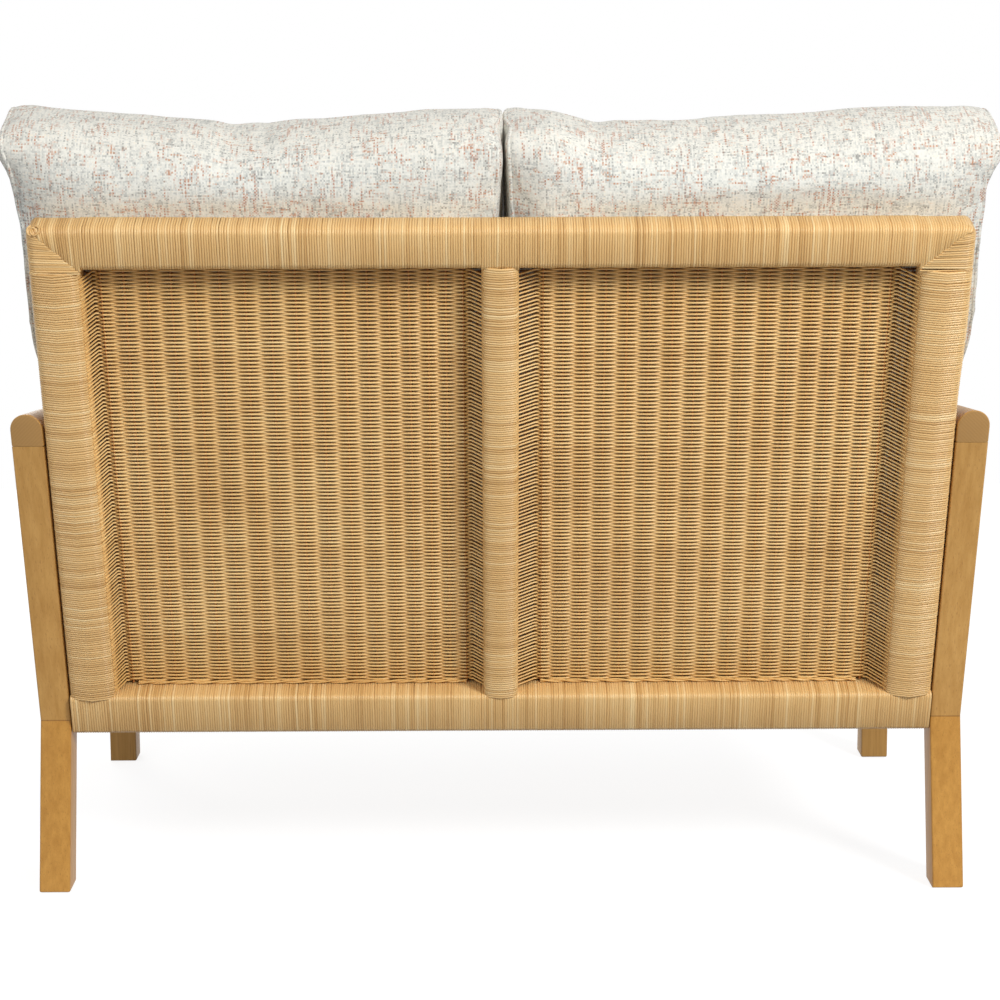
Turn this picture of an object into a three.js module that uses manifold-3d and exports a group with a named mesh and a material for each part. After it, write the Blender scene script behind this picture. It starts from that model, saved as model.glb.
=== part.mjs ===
// A two-seat garden sofa: kinked timber side frames, a back frame wound with rattan that holds two
// woven panels, a slatted seat, and four loose cushions.
// Millimetres. +X is to the right seen from the front, +Y to the rear, +Z up.
// Left and right are as seen from the front, and heights are over the floor.
import * as THREE from "three";
import { mergeVertices } from "three/addons/utils/BufferGeometryUtils.js";
import Module from "manifold-3d";

const wasm = await Module();
wasm.setup();

function vector(x, y, z) {
  return new THREE.Vector3(x, y, z);
}

// Clearances
const fitGap = 0.3; // between pieces that touch
const cutOverrun = 5; // how far a cutting shape passes the face that it opens

// Side frames
const overallWidth = 1200;
const timberThickness = 40; // across the sofa
const kinkHeight = 218.2; // of the crease in the rear leg's rear face
const kinkForward = 51.7; // of that crease from the foot's rear edge
const backLean = THREE.MathUtils.degToRad(19.2); // of the rear leg above the crease, and of the back
const rearLegDepth = 49;
const legSpread = 640; // from the rear foot's rear edge to the front leg's rear face
const frontLegDepth = 45;
const armTopHeight = 639.9; // at the rear end
const armThickness = 40;
const armFall = THREE.MathUtils.degToRad(4.5); // of the armrest towards the front
const sideRailHeight = 60;
const sideRailThickness = 28;

// Mortise and tenon joints of the side frames
const tenonLength = 20;
const tenonThickness = 12;
const tenonWidth = 28;

// Glides under the feet
const glideRadius = 10;
const glidePad = 1.2;
const glideStemRadius = 1.6;
const glideStem = 15;

// Back frame, with sizes over the rattan and heights along the lean
const backHeight = 710;
const backDepth = 44;
const backLift = 198.1; // of the bottom rail's lower rear edge
const backProud = 6.2; // of its rear face behind the rear legs' rear faces
const backSideGap = 3.2; // to each rear leg
const topRailHeight = 52;
const bottomRailHeight = 58;
const stileWidth = 60;
const centreStileWidth = 45;
const strandThickness = 3; // of the rattan that is wound round the members
const wrapRound = 8; // outer corner radius of a wound member
const panelDepth = 36; // from the back frame's rear face to the middle of the woven panels
const weaverThickness = 2.6;
const stakeThickness = 3.2;
const stakeCount = 17; // in each woven panel
const leftInnerInset = 29.4; // from the centre stile to the left panel's first stake
const leftOuterInset = 27.7; // from the left stile to that panel's last stake
const leftMiddleDrift = -5.9; // by which that panel's middle stake stands nearer the centre stile
const rightInnerInset = 22;
const rightOuterInset = 17.7;
const rightMiddleDrift = 15.8;
const stakeCrowding = 0.105; // share by which the stakes stand closer towards a panel's sides
const stubShoulder = 5; // by which a core's stub is smaller than the core, on each side

// Seat frame
const seatSlope = THREE.MathUtils.degToRad(4); // the seat rises to the front
const seatHeight = 252; // of the slats' upper face at the rear
const frontRailHeight = 70;
const frontRailDepth = 45;
const frontRailSetback = 3; // of its front face, halfway up, behind the front legs' front faces
const rearRailHeight = 58;
const rearRailDepth = 35;
const centreRailHeight = 40;
const centreRailWidth = 40;
const ledgerWidth = 24;
const ledgerHeight = 30;
const slatCount = 7;
const slatThickness = 18;
const slatGap = 14;

// Fasteners
const boltRadius = 4;
const boltHeadRadius = 8;
const boltHeadHeight = 4;
const boltHeadSunk = 1; // below the face that it is sunk in
const boltGrip = 30; // length that enters the piece behind
const spacerRadius = 9;
const backBoltDepth = 25; // from the back frame's rear face
const lowerBoltRise = 99; // of the lower back bolts over the back frame's lower edge
const upperBoltDrop = 41; // of the upper back bolts below the armrests, along the lean
const frontBoltInset = 16; // from the front leg's front face
const rearBoltInset = 24; // from the rear seat rail's rear face
const screwRadius = 2;
const screwHeadRadius = 4.2;
const screwHeadHeight = 2.4;
const screwLength = 18;
const ledgerScrewInset = 85; // from each end of a ledger

// Cushions
const cushionGap = 0.5; // from the middle of the sofa to the cushion's inner side
const cushionSideGap = 2.5; // to the side frame
const seatCushionThickness = 150;
const seatRoundAcross = 16; // of its edges, measured along x
const seatRoundAlong = 26; // measured along the seat
const seatRoundUp = 34; // measured squarely up from the seat
const seatCushionCrown = 14;
const seatCushionOverhang = 5; // past the front rail
const seatCushionRearClear = 12; // to the back frame, at the slats
const seatSideDraw = 6;
const backCushionTop = 804; // along the lean, from the back frame's lower edge
const backCushionThickness = 150;
const backRoundAcross = 9; // of its edges, measured along x
const backRound = 38; // measured through it and along the lean
const backCornerAcross = 26; // further round of its upper outer corner, measured along x
const backCornerUp = 44; // measured along the lean
const backCushionCrown = 34;
const backShoulder = 15; // swell over the armrest
const backShoulderRise = 80; // length over which that swell grows
const backFlare = 18; // further swell at the upper corner
const backFlareRise = 105;
const backInnerDraw = 4.5; // by which the inner sides part below the top corners
const backCornerDip = 21; // of the top edge between its raised corners

// Places of the lowest point of each back cushion's top edge, from its outer side to its inner side
const leftDipShare = 0.76;
const rightDipShare = 0.48;

// Fineness of round shapes
const wrapSteps = 2; // in each eighth of a turn
const armSteps = 9; // in each quarter of a turn
const boreSteps = 12;
const cushionAcrossSteps = 14;
const cushionUpSteps = 14;
const cushionThickSteps = 6;

const timber = new THREE.MeshStandardMaterial({ color: 0xc08a4a, roughness: 0.42, metalness: 0 });
const core = new THREE.MeshStandardMaterial({ color: 0xa9875c, roughness: 0.8, metalness: 0 });
const rattan = new THREE.MeshStandardMaterial({ color: 0xb99658, roughness: 0.6, metalness: 0 });
const weave = new THREE.MeshStandardMaterial({ color: 0xc6b183, roughness: 0.65, metalness: 0 });
const tweed = new THREE.MeshStandardMaterial({ color: 0xaeb2b4, roughness: 0.95, metalness: 0 });
const steel = new THREE.MeshStandardMaterial({ color: 0x9a9c9e, roughness: 0.35, metalness: 0.9 });
const plastic = new THREE.MeshStandardMaterial({ color: 0x2b2622, roughness: 0.7, metalness: 0 });

const X = new THREE.Vector3(1, 0, 0);
const Y = new THREE.Vector3(0, 1, 0);
const Z = new THREE.Vector3(0, 0, 1);

const halfWidth = overallWidth / 2;
const innerHalf = halfWidth - timberThickness;
const glideLift = glidePad + fitGap; // of the feet over the floor

const sofa = new THREE.Group();
const back = new THREE.Group(); // its Z runs up the leaning back, its Y squarely to the rear
const seat = new THREE.Group(); // its Y runs along the slats' upper face, its Z squarely up from it
sofa.add(back, seat);

// Solids and meshes

function toSolid(geometry) {
  const bare = geometry.clone();
  bare.deleteAttribute("normal");
  bare.deleteAttribute("uv");
  const merged = mergeVertices(bare);
  return new wasm.Manifold(
    new wasm.Mesh({
      numProp: 3,
      vertProperties: merged.attributes.position.array,
      triVerts: new Uint32Array(merged.index.array),
    }),
  );
}

function toGeometry(solid) {
  const made = solid.getMesh();
  const geometry = new THREE.BufferGeometry();
  geometry.setAttribute("position", new THREE.BufferAttribute(made.vertProperties, 3));
  geometry.setIndex(new THREE.BufferAttribute(made.triVerts, 1));
  geometry.computeVertexNormals();
  return geometry;
}

// A piece with shapes cut from it, or the piece as it is where there are none.
function cutBy(geometry, cutters) {
  return toGeometry(cutters.reduce((solid, cutter) => solid.subtract(toSolid(cutter)), toSolid(geometry)));
}

function joined(geometry, additions) {
  return toGeometry(additions.reduce((solid, added) => solid.add(toSolid(added)), toSolid(geometry)));
}

function place(parent, name, geometry, material) {
  const mesh = new THREE.Mesh(geometry, material);
  mesh.name = name;
  parent.add(mesh);
  return mesh;
}

function shifted(point, direction, distance) {
  return point.clone().addScaledVector(direction, distance);
}

function planeAt(point, normal) {
  return new THREE.Plane().setFromNormalAndCoplanarPoint(normal.clone().normalize(), point);
}

function outline(points) {
  return new THREE.Shape(points.map(([across, up]) => new THREE.Vector2(across, up)));
}

// A straight member: a section drawn on the axes a and b, run along a x b from one plane to another.
function member(section, a, b, startPlane, endPlane, curveSegments = wrapSteps) {
  const geometry = new THREE.ExtrudeGeometry(section, { depth: 1, bevelEnabled: false, curveSegments });
  const along = new THREE.Vector3().crossVectors(a, b);
  const position = geometry.attributes.position;
  for (let i = 0; i < position.count; i++) {
    const plane = Math.round(position.getZ(i)) === 1 ? endPlane : startPlane;
    const point = a.clone().multiplyScalar(position.getX(i)).addScaledVector(b, position.getY(i));
    point.addScaledVector(along, -plane.distanceToPoint(point) / plane.normal.dot(along));
    position.setXYZ(i, point.x, point.y, point.z);
  }
  return geometry;
}

// A member across the sofa between two x places.
function acrossMember(section, fromX, toX) {
  return member(section, Y, Z, new THREE.Plane(X, -fromX), new THREE.Plane(X, -toX));
}

// A block given by its lowest and highest corner.
function block(low, high) {
  const size = new THREE.Vector3().subVectors(high, low);
  const centre = new THREE.Vector3().addVectors(low, high).divideScalar(2);
  return new THREE.BoxGeometry(size.x, size.y, size.z).translate(centre.x, centre.y, centre.z);
}

// The two x places of a piece that lies between two distances from the middle, on one side.
function sideSpan(side, near, far) {
  return side > 0 ? [near, far] : [-far, -near];
}

// Side frames: their outlines lie in the (y, z) plane

const leanUp = vector(0, Math.sin(backLean), Math.cos(backLean));
const leanBack = vector(0, Math.cos(backLean), -Math.sin(backLean));
const kink = vector(0, -kinkForward, kinkHeight);
const footAngle = Math.atan2(kinkForward, kinkHeight);
const footUp = vector(0, -Math.sin(footAngle), Math.cos(footAngle));
const footForward = vector(0, -Math.cos(footAngle), -Math.sin(footAngle));

// The armrest's axis runs forward and down, and its rear end is flush with the rear leg's rear face.
const armForward = vector(0, -Math.cos(armFall), -Math.sin(armFall));
const armUp = vector(0, -Math.sin(armFall), Math.cos(armFall));
const armRearTop = shifted(kink, leanUp, (armTopHeight - kinkHeight) / leanUp.z);
const armUnder = shifted(armRearTop, armUp, -armThickness);
const legRearPlane = planeAt(kink, leanBack);
const frontFace = -legSpread - frontLegDepth;

// Where a line through a point in the (y, z) plane meets a plane.
function meet(point, direction, plane) {
  const distance = -plane.distanceToPoint(point) / plane.normal.dot(direction);
  return shifted(point, direction, distance);
}

// The rear leg's outline from its foot to a plane at its top, for a given depth.
function rearLegOutline(depth, topPlane, footHeight) {
  const floor = planeAt(vector(0, 0, footHeight), Z);
  const upperFront = planeAt(shifted(kink, leanBack, -depth), leanBack);
  const footFrontPoint = shifted(kink, footForward, depth);
  const knee = meet(footFrontPoint, footUp, upperFront);
  const corners = [
    meet(kink, footUp, floor),
    kink,
    meet(kink, leanUp, topPlane),
    meet(knee, leanUp, topPlane),
    knee,
    meet(knee, footUp, floor),
  ];
  return outline(corners.map((corner) => [corner.y, corner.z]));
}

const underArmPlane = planeAt(shifted(armUnder, armUp, -fitGap), armUp);
const seatUp = vector(0, Math.sin(seatSlope), Math.cos(seatSlope));
const seatForward = vector(0, -Math.cos(seatSlope), Math.sin(seatSlope));

// The back frame's lower rear edge, then the place of the slats' upper rear edge: the seat frame's
// rear rail stands close in front of the back frame's lower front edge.
const backRearPlane = planeAt(shifted(kink, leanBack, backProud), leanBack);
const backOrigin = meet(vector(0, 0, backLift), Y, backRearPlane);
const backLowerFront = shifted(backOrigin, leanBack, -backDepth);
const seatOriginDrop = (backLowerFront.z - seatHeight) / seatUp.z;
const seatOrigin = vector(0, backLowerFront.y - fitGap - seatOriginDrop * seatUp.y, seatHeight);

back.position.copy(backOrigin);
back.rotation.x = -backLean;
seat.position.copy(seatOrigin);
seat.rotation.x = -seatSlope;

// A point of the leaning back, given by its depth from the rear face and its height along the lean.
function backPoint(depth, height) {
  return shifted(shifted(backOrigin, leanBack, -depth), leanUp, height);
}

// A point of the seat, given by its distance forward and its height over the slats' upper face.
function seatPoint(forward, height) {
  return shifted(shifted(seatOrigin, seatForward, forward), seatUp, height);
}

// A four-sided outline in the (y, z) plane round a centre line.
function barOutline(start, end, width) {
  const along = end.clone().sub(start).normalize();
  const normal = new THREE.Vector3().crossVectors(along, X).multiplyScalar(width / 2);
  const corners = [
    start.clone().sub(normal),
    end.clone().sub(normal),
    end.clone().add(normal),
    start.clone().add(normal),
  ];
  const signed = THREE.ShapeUtils.area(corners.map((corner) => new THREE.Vector2(corner.y, corner.z)));
  const ordered = signed < 0 ? corners.reverse() : corners;
  return outline(ordered.map((corner) => [corner.y, corner.z]));
}

// The tenons of one side frame. Each runs across x about the middle of its rail or leg, and growth
// widens it into its mortise.
function tenonBars(side, growth) {
  const legMiddle = side * (innerHalf + timberThickness / 2);
  const railMiddle = side * (innerHalf + sideRailThickness / 2);
  const inLeg = [legMiddle - tenonThickness / 2 - growth, legMiddle + tenonThickness / 2 + growth];
  const inRail = [railMiddle - tenonThickness / 2 - growth, railMiddle + tenonThickness / 2 + growth];
  const width = tenonWidth + 2 * growth;
  const length = tenonLength + growth;

  const bar = (seatPlace, direction, span) => {
    const start = shifted(seatPlace, direction, -cutOverrun);
    return acrossMember(barOutline(start, shifted(seatPlace, direction, length), width), ...span);
  };

  const rearLegMiddle = shifted(kink, leanBack, -rearLegDepth / 2);
  const rearTop = bar(meet(rearLegMiddle, leanUp, underArmPlane), leanUp, inLeg);
  const frontLegMiddle = vector(0, frontFace + frontLegDepth / 2, 0);
  const frontTop = bar(meet(frontLegMiddle, Z, underArmPlane), Z, inLeg);

  const railLine = seatPoint(0, -sideRailHeight / 2);
  const railRearEnd = meet(railLine, seatForward, planeAt(kneePoint(), Y));
  const railRear = bar(railRearEnd, seatForward.clone().negate(), inRail);
  const railFrontEnd = meet(railLine, seatForward, planeAt(vector(0, -legSpread, 0), Y));
  const railFront = bar(railFrontEnd, seatForward, inRail);
  return { rearTop, frontTop, railRear, railFront };
}

// The foremost point of the rear leg, where its front face is creased.
function kneePoint() {
  const upperFront = planeAt(shifted(kink, leanBack, -rearLegDepth), leanBack);
  return meet(shifted(kink, footForward, rearLegDepth), footUp, upperFront);
}

// A round bar along X, for bolts and their bores.
function roundBar(fromX, toX, y, z, radius) {
  return new THREE.CylinderGeometry(radius, radius, Math.abs(toX - fromX), boreSteps)
    .rotateZ(Math.PI / 2)
    .translate((fromX + toX) / 2, y, z);
}

// A bore with a sunk seat for the bolt's head, from the outer face at faceX towards the middle.
function boltBore(side, faceX, innerX, { y, z }) {
  const seatX = faceX - boltHeadHeight - boltHeadSunk - fitGap;
  const outX = faceX + cutOverrun;
  return [
    roundBar(side * (innerX - cutOverrun), side * outX, y, z, boltRadius + fitGap),
    roundBar(side * seatX, side * outX, y, z, boltHeadRadius + fitGap),
  ];
}

// A turned piece along X, drawn as radii and places along its axis, which points to its own side.
function turnedAlongX(side, corners, { y, z }) {
  const profile = corners.map(([radius, x]) => new THREE.Vector2(radius, x));
  return new THREE.LatheGeometry(profile, boreSteps).rotateZ((-side * Math.PI) / 2).translate(0, y, z);
}

// A bolt with a flat round head. Its axis is along X and its head faces outwards.
function boltGeometry(side, faceX, tipX, point) {
  const headTop = faceX - boltHeadSunk;
  const corners = [
    [0, tipX],
    [boltRadius, tipX],
    [boltRadius, headTop - boltHeadHeight],
    [boltHeadRadius, headTop - boltHeadHeight],
    [boltHeadRadius, headTop],
    [0, headTop],
  ];
  return turnedAlongX(side, corners, point);
}

// The back bolts enter the rear legs below the armrests.
const underArmHeight = inBack(meet(backPoint(backBoltDepth, 0), leanUp, underArmPlane)).z;
const backBoltHeights = [lowerBoltRise, underArmHeight - upperBoltDrop];
const backBoltPoints = backBoltHeights.map((height) => backPoint(backBoltDepth, height));
const frontRailLine = seatPoint(0, -frontRailHeight / 2);
const frontRailPlane = planeAt(vector(0, frontFace + frontRailSetback + frontRailDepth / 2, 0), Y);
const frontRailMiddle = meet(frontRailLine, seatForward, frontRailPlane);
const frontBoltPoint = meet(frontRailLine, seatForward, planeAt(vector(0, frontFace + frontBoltInset, 0), Y));
const rearBoltPoint = seatPoint(rearBoltInset, -rearRailHeight / 2);

// The y places of the glides, in the middle of the feet.
const rearFootDepth = rearLegDepth / Math.cos(footAngle);
const rearFootEdge = meet(kink, footUp, planeAt(vector(0, 0, glideLift), Z)).y;
const glidePlaces = { rear: rearFootEdge - rearFootDepth / 2, front: -legSpread - frontLegDepth / 2 };

function glideBore(side, y) {
  const radius = glideStemRadius + fitGap;
  return new THREE.CylinderGeometry(radius, radius, 2 * (glideStem + fitGap), boreSteps)
    .rotateX(Math.PI / 2)
    .translate(side * (innerHalf + timberThickness / 2), y, glidePad);
}

function glideGeometry(side, y) {
  const profile = [
    [0, 0],
    [glideRadius, 0],
    [glideRadius, glidePad],
    [glideStemRadius, glidePad],
    [glideStemRadius, glideStem],
    [0, glideStem],
  ].map(([radius, height]) => new THREE.Vector2(radius, height));
  return new THREE.LatheGeometry(profile, boreSteps)
    .rotateX(Math.PI / 2)
    .translate(side * (innerHalf + timberThickness / 2), y, 0);
}

function rearLeg(side, mortises, tenons) {
  const body = acrossMember(
    rearLegOutline(rearLegDepth, underArmPlane, glideLift),
    ...sideSpan(side, innerHalf, halfWidth),
  );
  return cutBy(joined(body, [tenons.rearTop]), [
    mortises.railRear,
    glideBore(side, glidePlaces.rear),
    ...backBoltPoints.flatMap((point) => boltBore(side, halfWidth, innerHalf, point)),
  ]);
}

function frontLeg(side, mortises, tenons) {
  const [fromX, toX] = sideSpan(side, innerHalf, halfWidth);
  const section = outline([
    [fromX, frontFace],
    [toX, frontFace],
    [toX, frontFace + frontLegDepth],
    [fromX, frontFace + frontLegDepth],
  ]);
  const body = member(section, X, Y, new THREE.Plane(Z, -glideLift), underArmPlane);
  return cutBy(joined(body, [tenons.frontTop]), [
    mortises.railFront,
    glideBore(side, glidePlaces.front),
    ...boltBore(side, halfWidth, innerHalf, frontBoltPoint),
  ]);
}

// The armrest: a board with a fully rounded top.
function armrest(side, mortises) {
  const radius = timberThickness / 2;
  const middle = side * (innerHalf + radius);
  const level = armRearTop.clone().dot(armUp);
  const section = new THREE.Shape();
  section.moveTo(middle - radius, level - armThickness);
  section.lineTo(middle + radius, level - armThickness);
  section.lineTo(middle + radius, level - radius);
  section.absarc(middle, level - radius, radius, 0, Math.PI, false);
  section.closePath();
  const body = member(section, X, armUp, legRearPlane, planeAt(vector(0, frontFace, 0), Y), armSteps);
  return cutBy(body, [mortises.rearTop, mortises.frontTop]);
}

function sideRail(side, tenons) {
  const [fromX, toX] = sideSpan(side, innerHalf, innerHalf + sideRailThickness);
  const seatTop = seatOrigin.dot(seatUp);
  const section = outline([
    [fromX, seatTop - sideRailHeight],
    [toX, seatTop - sideRailHeight],
    [toX, seatTop],
    [fromX, seatTop],
  ]);
  const body = member(section, X, seatUp, legRearPlane, planeAt(vector(0, fitGap - legSpread, 0), Y));
  const legSpace = acrossMember(
    rearLegOutline(rearLegDepth + fitGap, underArmPlane, -cutOverrun),
    ...sideSpan(side, innerHalf - cutOverrun, halfWidth),
  );
  return cutBy(joined(cutBy(body, [legSpace]), [tenons.railRear, tenons.railFront]), [
    ...boltBore(side, innerHalf + sideRailThickness, innerHalf, rearBoltPoint),
  ]);
}

function addSideFrame(side, word) {
  const tenons = tenonBars(side, 0);
  const mortises = tenonBars(side, fitGap);
  place(sofa, `rear_leg_${word}`, rearLeg(side, mortises, tenons), timber);
  place(sofa, `front_leg_${word}`, frontLeg(side, mortises, tenons), timber);
  place(sofa, `armrest_${word}`, armrest(side, mortises), timber);
  place(sofa, `side_rail_${word}`, sideRail(side, tenons), timber);
  place(sofa, `glide_rear_${word}`, glideGeometry(side, glidePlaces.rear), plastic);
  place(sofa, `glide_front_${word}`, glideGeometry(side, glidePlaces.front), plastic);
}

// Back frame: members wound with rattan, in the back's own axes

function roundedRectangle(low, high, radius) {
  const shape = new THREE.Shape();
  shape.absarc(high[0] - radius, high[1] - radius, radius, 0, Math.PI / 2, false);
  shape.absarc(low[0] + radius, high[1] - radius, radius, Math.PI / 2, Math.PI, false);
  shape.absarc(low[0] + radius, low[1] + radius, radius, Math.PI, 1.5 * Math.PI, false);
  shape.absarc(high[0] - radius, low[1] + radius, radius, 1.5 * Math.PI, 2 * Math.PI, false);
  shape.closePath();
  return shape;
}

function inset(low, high, by) {
  return [low.map((value) => value + by), high.map((value) => value - by)];
}

// The wound skin of a member, whose section spans two corners, and the core inside it.
function woundSections(low, high) {
  const skin = roundedRectangle(low, high, wrapRound);
  skin.holes.push(roundedRectangle(...inset(low, high, strandThickness), wrapRound - strandThickness));
  const coreInset = strandThickness + fitGap;
  return { skin, core: roundedRectangle(...inset(low, high, coreInset), wrapRound - coreInset) };
}

const backHalf = innerHalf - backSideGap;
const railSections = {
  top: woundSections([-backDepth, backHeight - topRailHeight], [0, backHeight]),
  bottom: woundSections([-backDepth, 0], [0, bottomRailHeight]),
};

// The mitre between the top rail and a stile, from the outer corner to the inner one.
function mitrePlane(side, offset) {
  const line = vector(side * stileWidth, 0, topRailHeight).normalize();
  const normal = vector(-side * line.z, 0, Math.abs(line.x));
  const corner = vector(side * backHalf, 0, backHeight).addScaledVector(normal, offset);
  return planeAt(corner, normal);
}

function stubBlock(lowX, highX, fromZ, toZ, growth) {
  const depthInset = strandThickness + fitGap + stubShoulder - growth;
  return block(
    vector(lowX + stubShoulder - growth, -backDepth + depthInset, fromZ),
    vector(highX - stubShoulder + growth, -depthInset, toZ),
  );
}

// The distances of a panel's stakes from the middle of the sofa.
function stakePlaces(innerInset, outerInset, middleDrift) {
  const near = centreStileWidth / 2 + innerInset;
  const far = backHalf - stileWidth - outerInset;
  return Array.from({ length: stakeCount }, (_, i) => {
    const turn = (2 * i) / (stakeCount - 1) - 1;
    const crowded = turn + (stakeCrowding / Math.PI) * Math.sin(Math.PI * turn);
    return (near + far) / 2 + ((far - near) / 2) * crowded - middleDrift * (1 - turn * turn);
  });
}

// A woven panel from above: the weavers pass round each stake on both sides, which makes a rib on
// both faces, and cross between the stakes.
function panelSection(side, stakes) {
  const swing = (weaverThickness + stakeThickness) / 2;
  const ribHalf = swing + weaverThickness / 2;
  const halves = [[centreStileWidth / 2 + fitGap, ribHalf]];
  stakes.slice(1).forEach((stake, i) => {
    for (const share of bayShares) {
      const half = swing * Math.abs(Math.cos(Math.PI * share)) + weaverThickness / 2;
      halves.push([stakes[i] + (stake - stakes[i]) * share, half]);
    }
  });
  halves.push([stakes.at(-1), ribHalf], [backHalf - stileWidth - fitGap, ribHalf]);
  const rear = halves.map(([place, half]) => [side * place, half - panelDepth]);
  const front = halves.map(([place, half]) => [side * place, -half - panelDepth]);
  return outline([...rear, ...front.reverse()]);
}

const bayShares = [0, 0.25, 0.5, 0.75];
const panels = [
  { word: "left", side: -1, stakes: stakePlaces(leftInnerInset, leftOuterInset, leftMiddleDrift) },
  { word: "right", side: 1, stakes: stakePlaces(rightInnerInset, rightOuterInset, rightMiddleDrift) },
];

function addBackFrame() {
  const railTopFace = bottomRailHeight + fitGap;
  const skinSpace = strandThickness + fitGap;
  const stubFoot = bottomRailHeight - skinSpace + fitGap;
  const topRailUnder = backHeight - topRailHeight;
  const stubHead = topRailUnder + skinSpace - fitGap;
  const stiles = [
    { name: "stile_left", side: -1, low: -backHalf, high: stileWidth - backHalf },
    { name: "stile_right", side: 1, low: backHalf - stileWidth, high: backHalf },
    { name: "centre_stile", side: 0, low: -centreStileWidth / 2, high: centreStileWidth / 2 },
  ];
  const holeFoot = bottomRailHeight - skinSpace;
  const holeHead = bottomRailHeight + cutOverrun;
  const bottomHoles = stiles.map(({ low, high }) =>
    stubBlock(low + skinSpace, high - skinSpace, holeFoot, holeHead, fitGap),
  );
  const topHole = stubBlock(
    skinSpace - centreStileWidth / 2,
    centreStileWidth / 2 - skinSpace,
    topRailUnder - cutOverrun,
    topRailUnder + skinSpace,
    fitGap,
  );

  for (const { name, side, low, high } of stiles) {
    const sections = woundSections([low, -backDepth], [high, 0]);
    const foot = new THREE.Plane(Z, -railTopFace);
    const head = side === 0 ? new THREE.Plane(Z, fitGap - topRailUnder) : mitrePlane(side, -fitGap / 2);
    const bores = side === 0 ? [] : backBoltHeights.map((height) => stileBore(side, height));
    const stubs = [stubBlock(low + skinSpace, high - skinSpace, stubFoot, railTopFace + cutOverrun, 0)];
    if (side === 0)
      stubs.push(stubBlock(low + skinSpace, high - skinSpace, topRailUnder - cutOverrun, stubHead, 0));
    place(back, `wrap_${name}`, cutBy(member(sections.skin, X, Y, foot, head), bores), rattan);
    place(back, `core_${name}`, cutBy(joined(member(sections.core, X, Y, foot, head), stubs), bores), core);
  }

  const topEnds = [mitrePlane(-1, fitGap / 2), mitrePlane(1, fitGap / 2)];
  const bottomEnds = [new THREE.Plane(X, backHalf), new THREE.Plane(X, -backHalf)];
  const topSkin = member(railSections.top.skin, Y, Z, ...topEnds);
  const bottomSkin = member(railSections.bottom.skin, Y, Z, ...bottomEnds);
  place(back, "wrap_top_rail", cutBy(topSkin, [topHole]), rattan);
  place(back, "core_top_rail", member(railSections.top.core, Y, Z, ...topEnds), core);
  place(back, "wrap_bottom_rail", cutBy(bottomSkin, bottomHoles), rattan);
  place(back, "core_bottom_rail", member(railSections.bottom.core, Y, Z, ...bottomEnds), core);

  const panelFoot = new THREE.Plane(Z, -railTopFace);
  const panelHead = new THREE.Plane(Z, fitGap - topRailUnder);
  for (const { word, side, stakes } of panels) {
    const panel = member(panelSection(side, stakes), X, Y, panelFoot, panelHead);
    place(back, `woven_panel_${word}`, panel, weave);
  }
}

// The bore that a back bolt has in a stile.
function stileBore(side, height) {
  const tip = innerHalf - backSideGap - boltGrip - fitGap;
  return roundBar(side * tip, side * (innerHalf + cutOverrun), -backBoltDepth, height, boltRadius + fitGap);
}

function addBackBolts() {
  for (const [side, word] of [[-1, "left"], [1, "right"]]) {
    backBoltHeights.forEach((height, index) => {
      const level = index === 0 ? "lower" : "upper";
      const point = vector(0, -backBoltDepth, height);
      const tip = innerHalf - backSideGap - boltGrip;
      place(back, `back_bolt_${word}_${level}`, boltGeometry(side, halfWidth, tip, point), steel);
      const [fromX, toX] = sideSpan(side, backHalf + fitGap, innerHalf - fitGap);
      const ring = cutBy(roundBar(fromX, toX, point.y, point.z, spacerRadius), [
        roundBar(fromX - cutOverrun, toX + cutOverrun, point.y, point.z, boltRadius + fitGap),
      ]);
      place(back, `back_spacer_${word}_${level}`, ring, plastic);
    });
  }
}

// Seat frame, in the seat's own axes: forward is -Y and the slats' upper face is at zero

// A point of the whole sofa in the seat's axes.
function inSeat(point) {
  const offset = point.clone().sub(seatOrigin);
  return vector(point.x, -offset.dot(seatForward), offset.dot(seatUp));
}

const frontRailPlace = inSeat(frontRailMiddle);
const frontRailRear = frontRailPlace.y + frontRailDepth / 2;
const frontRailFront = frontRailPlace.y - frontRailDepth / 2;

function boltInSeat(faceX, point) {
  return { tip: innerHalf - fitGap - boltGrip, faceX, point: inSeat(point) };
}

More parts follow.
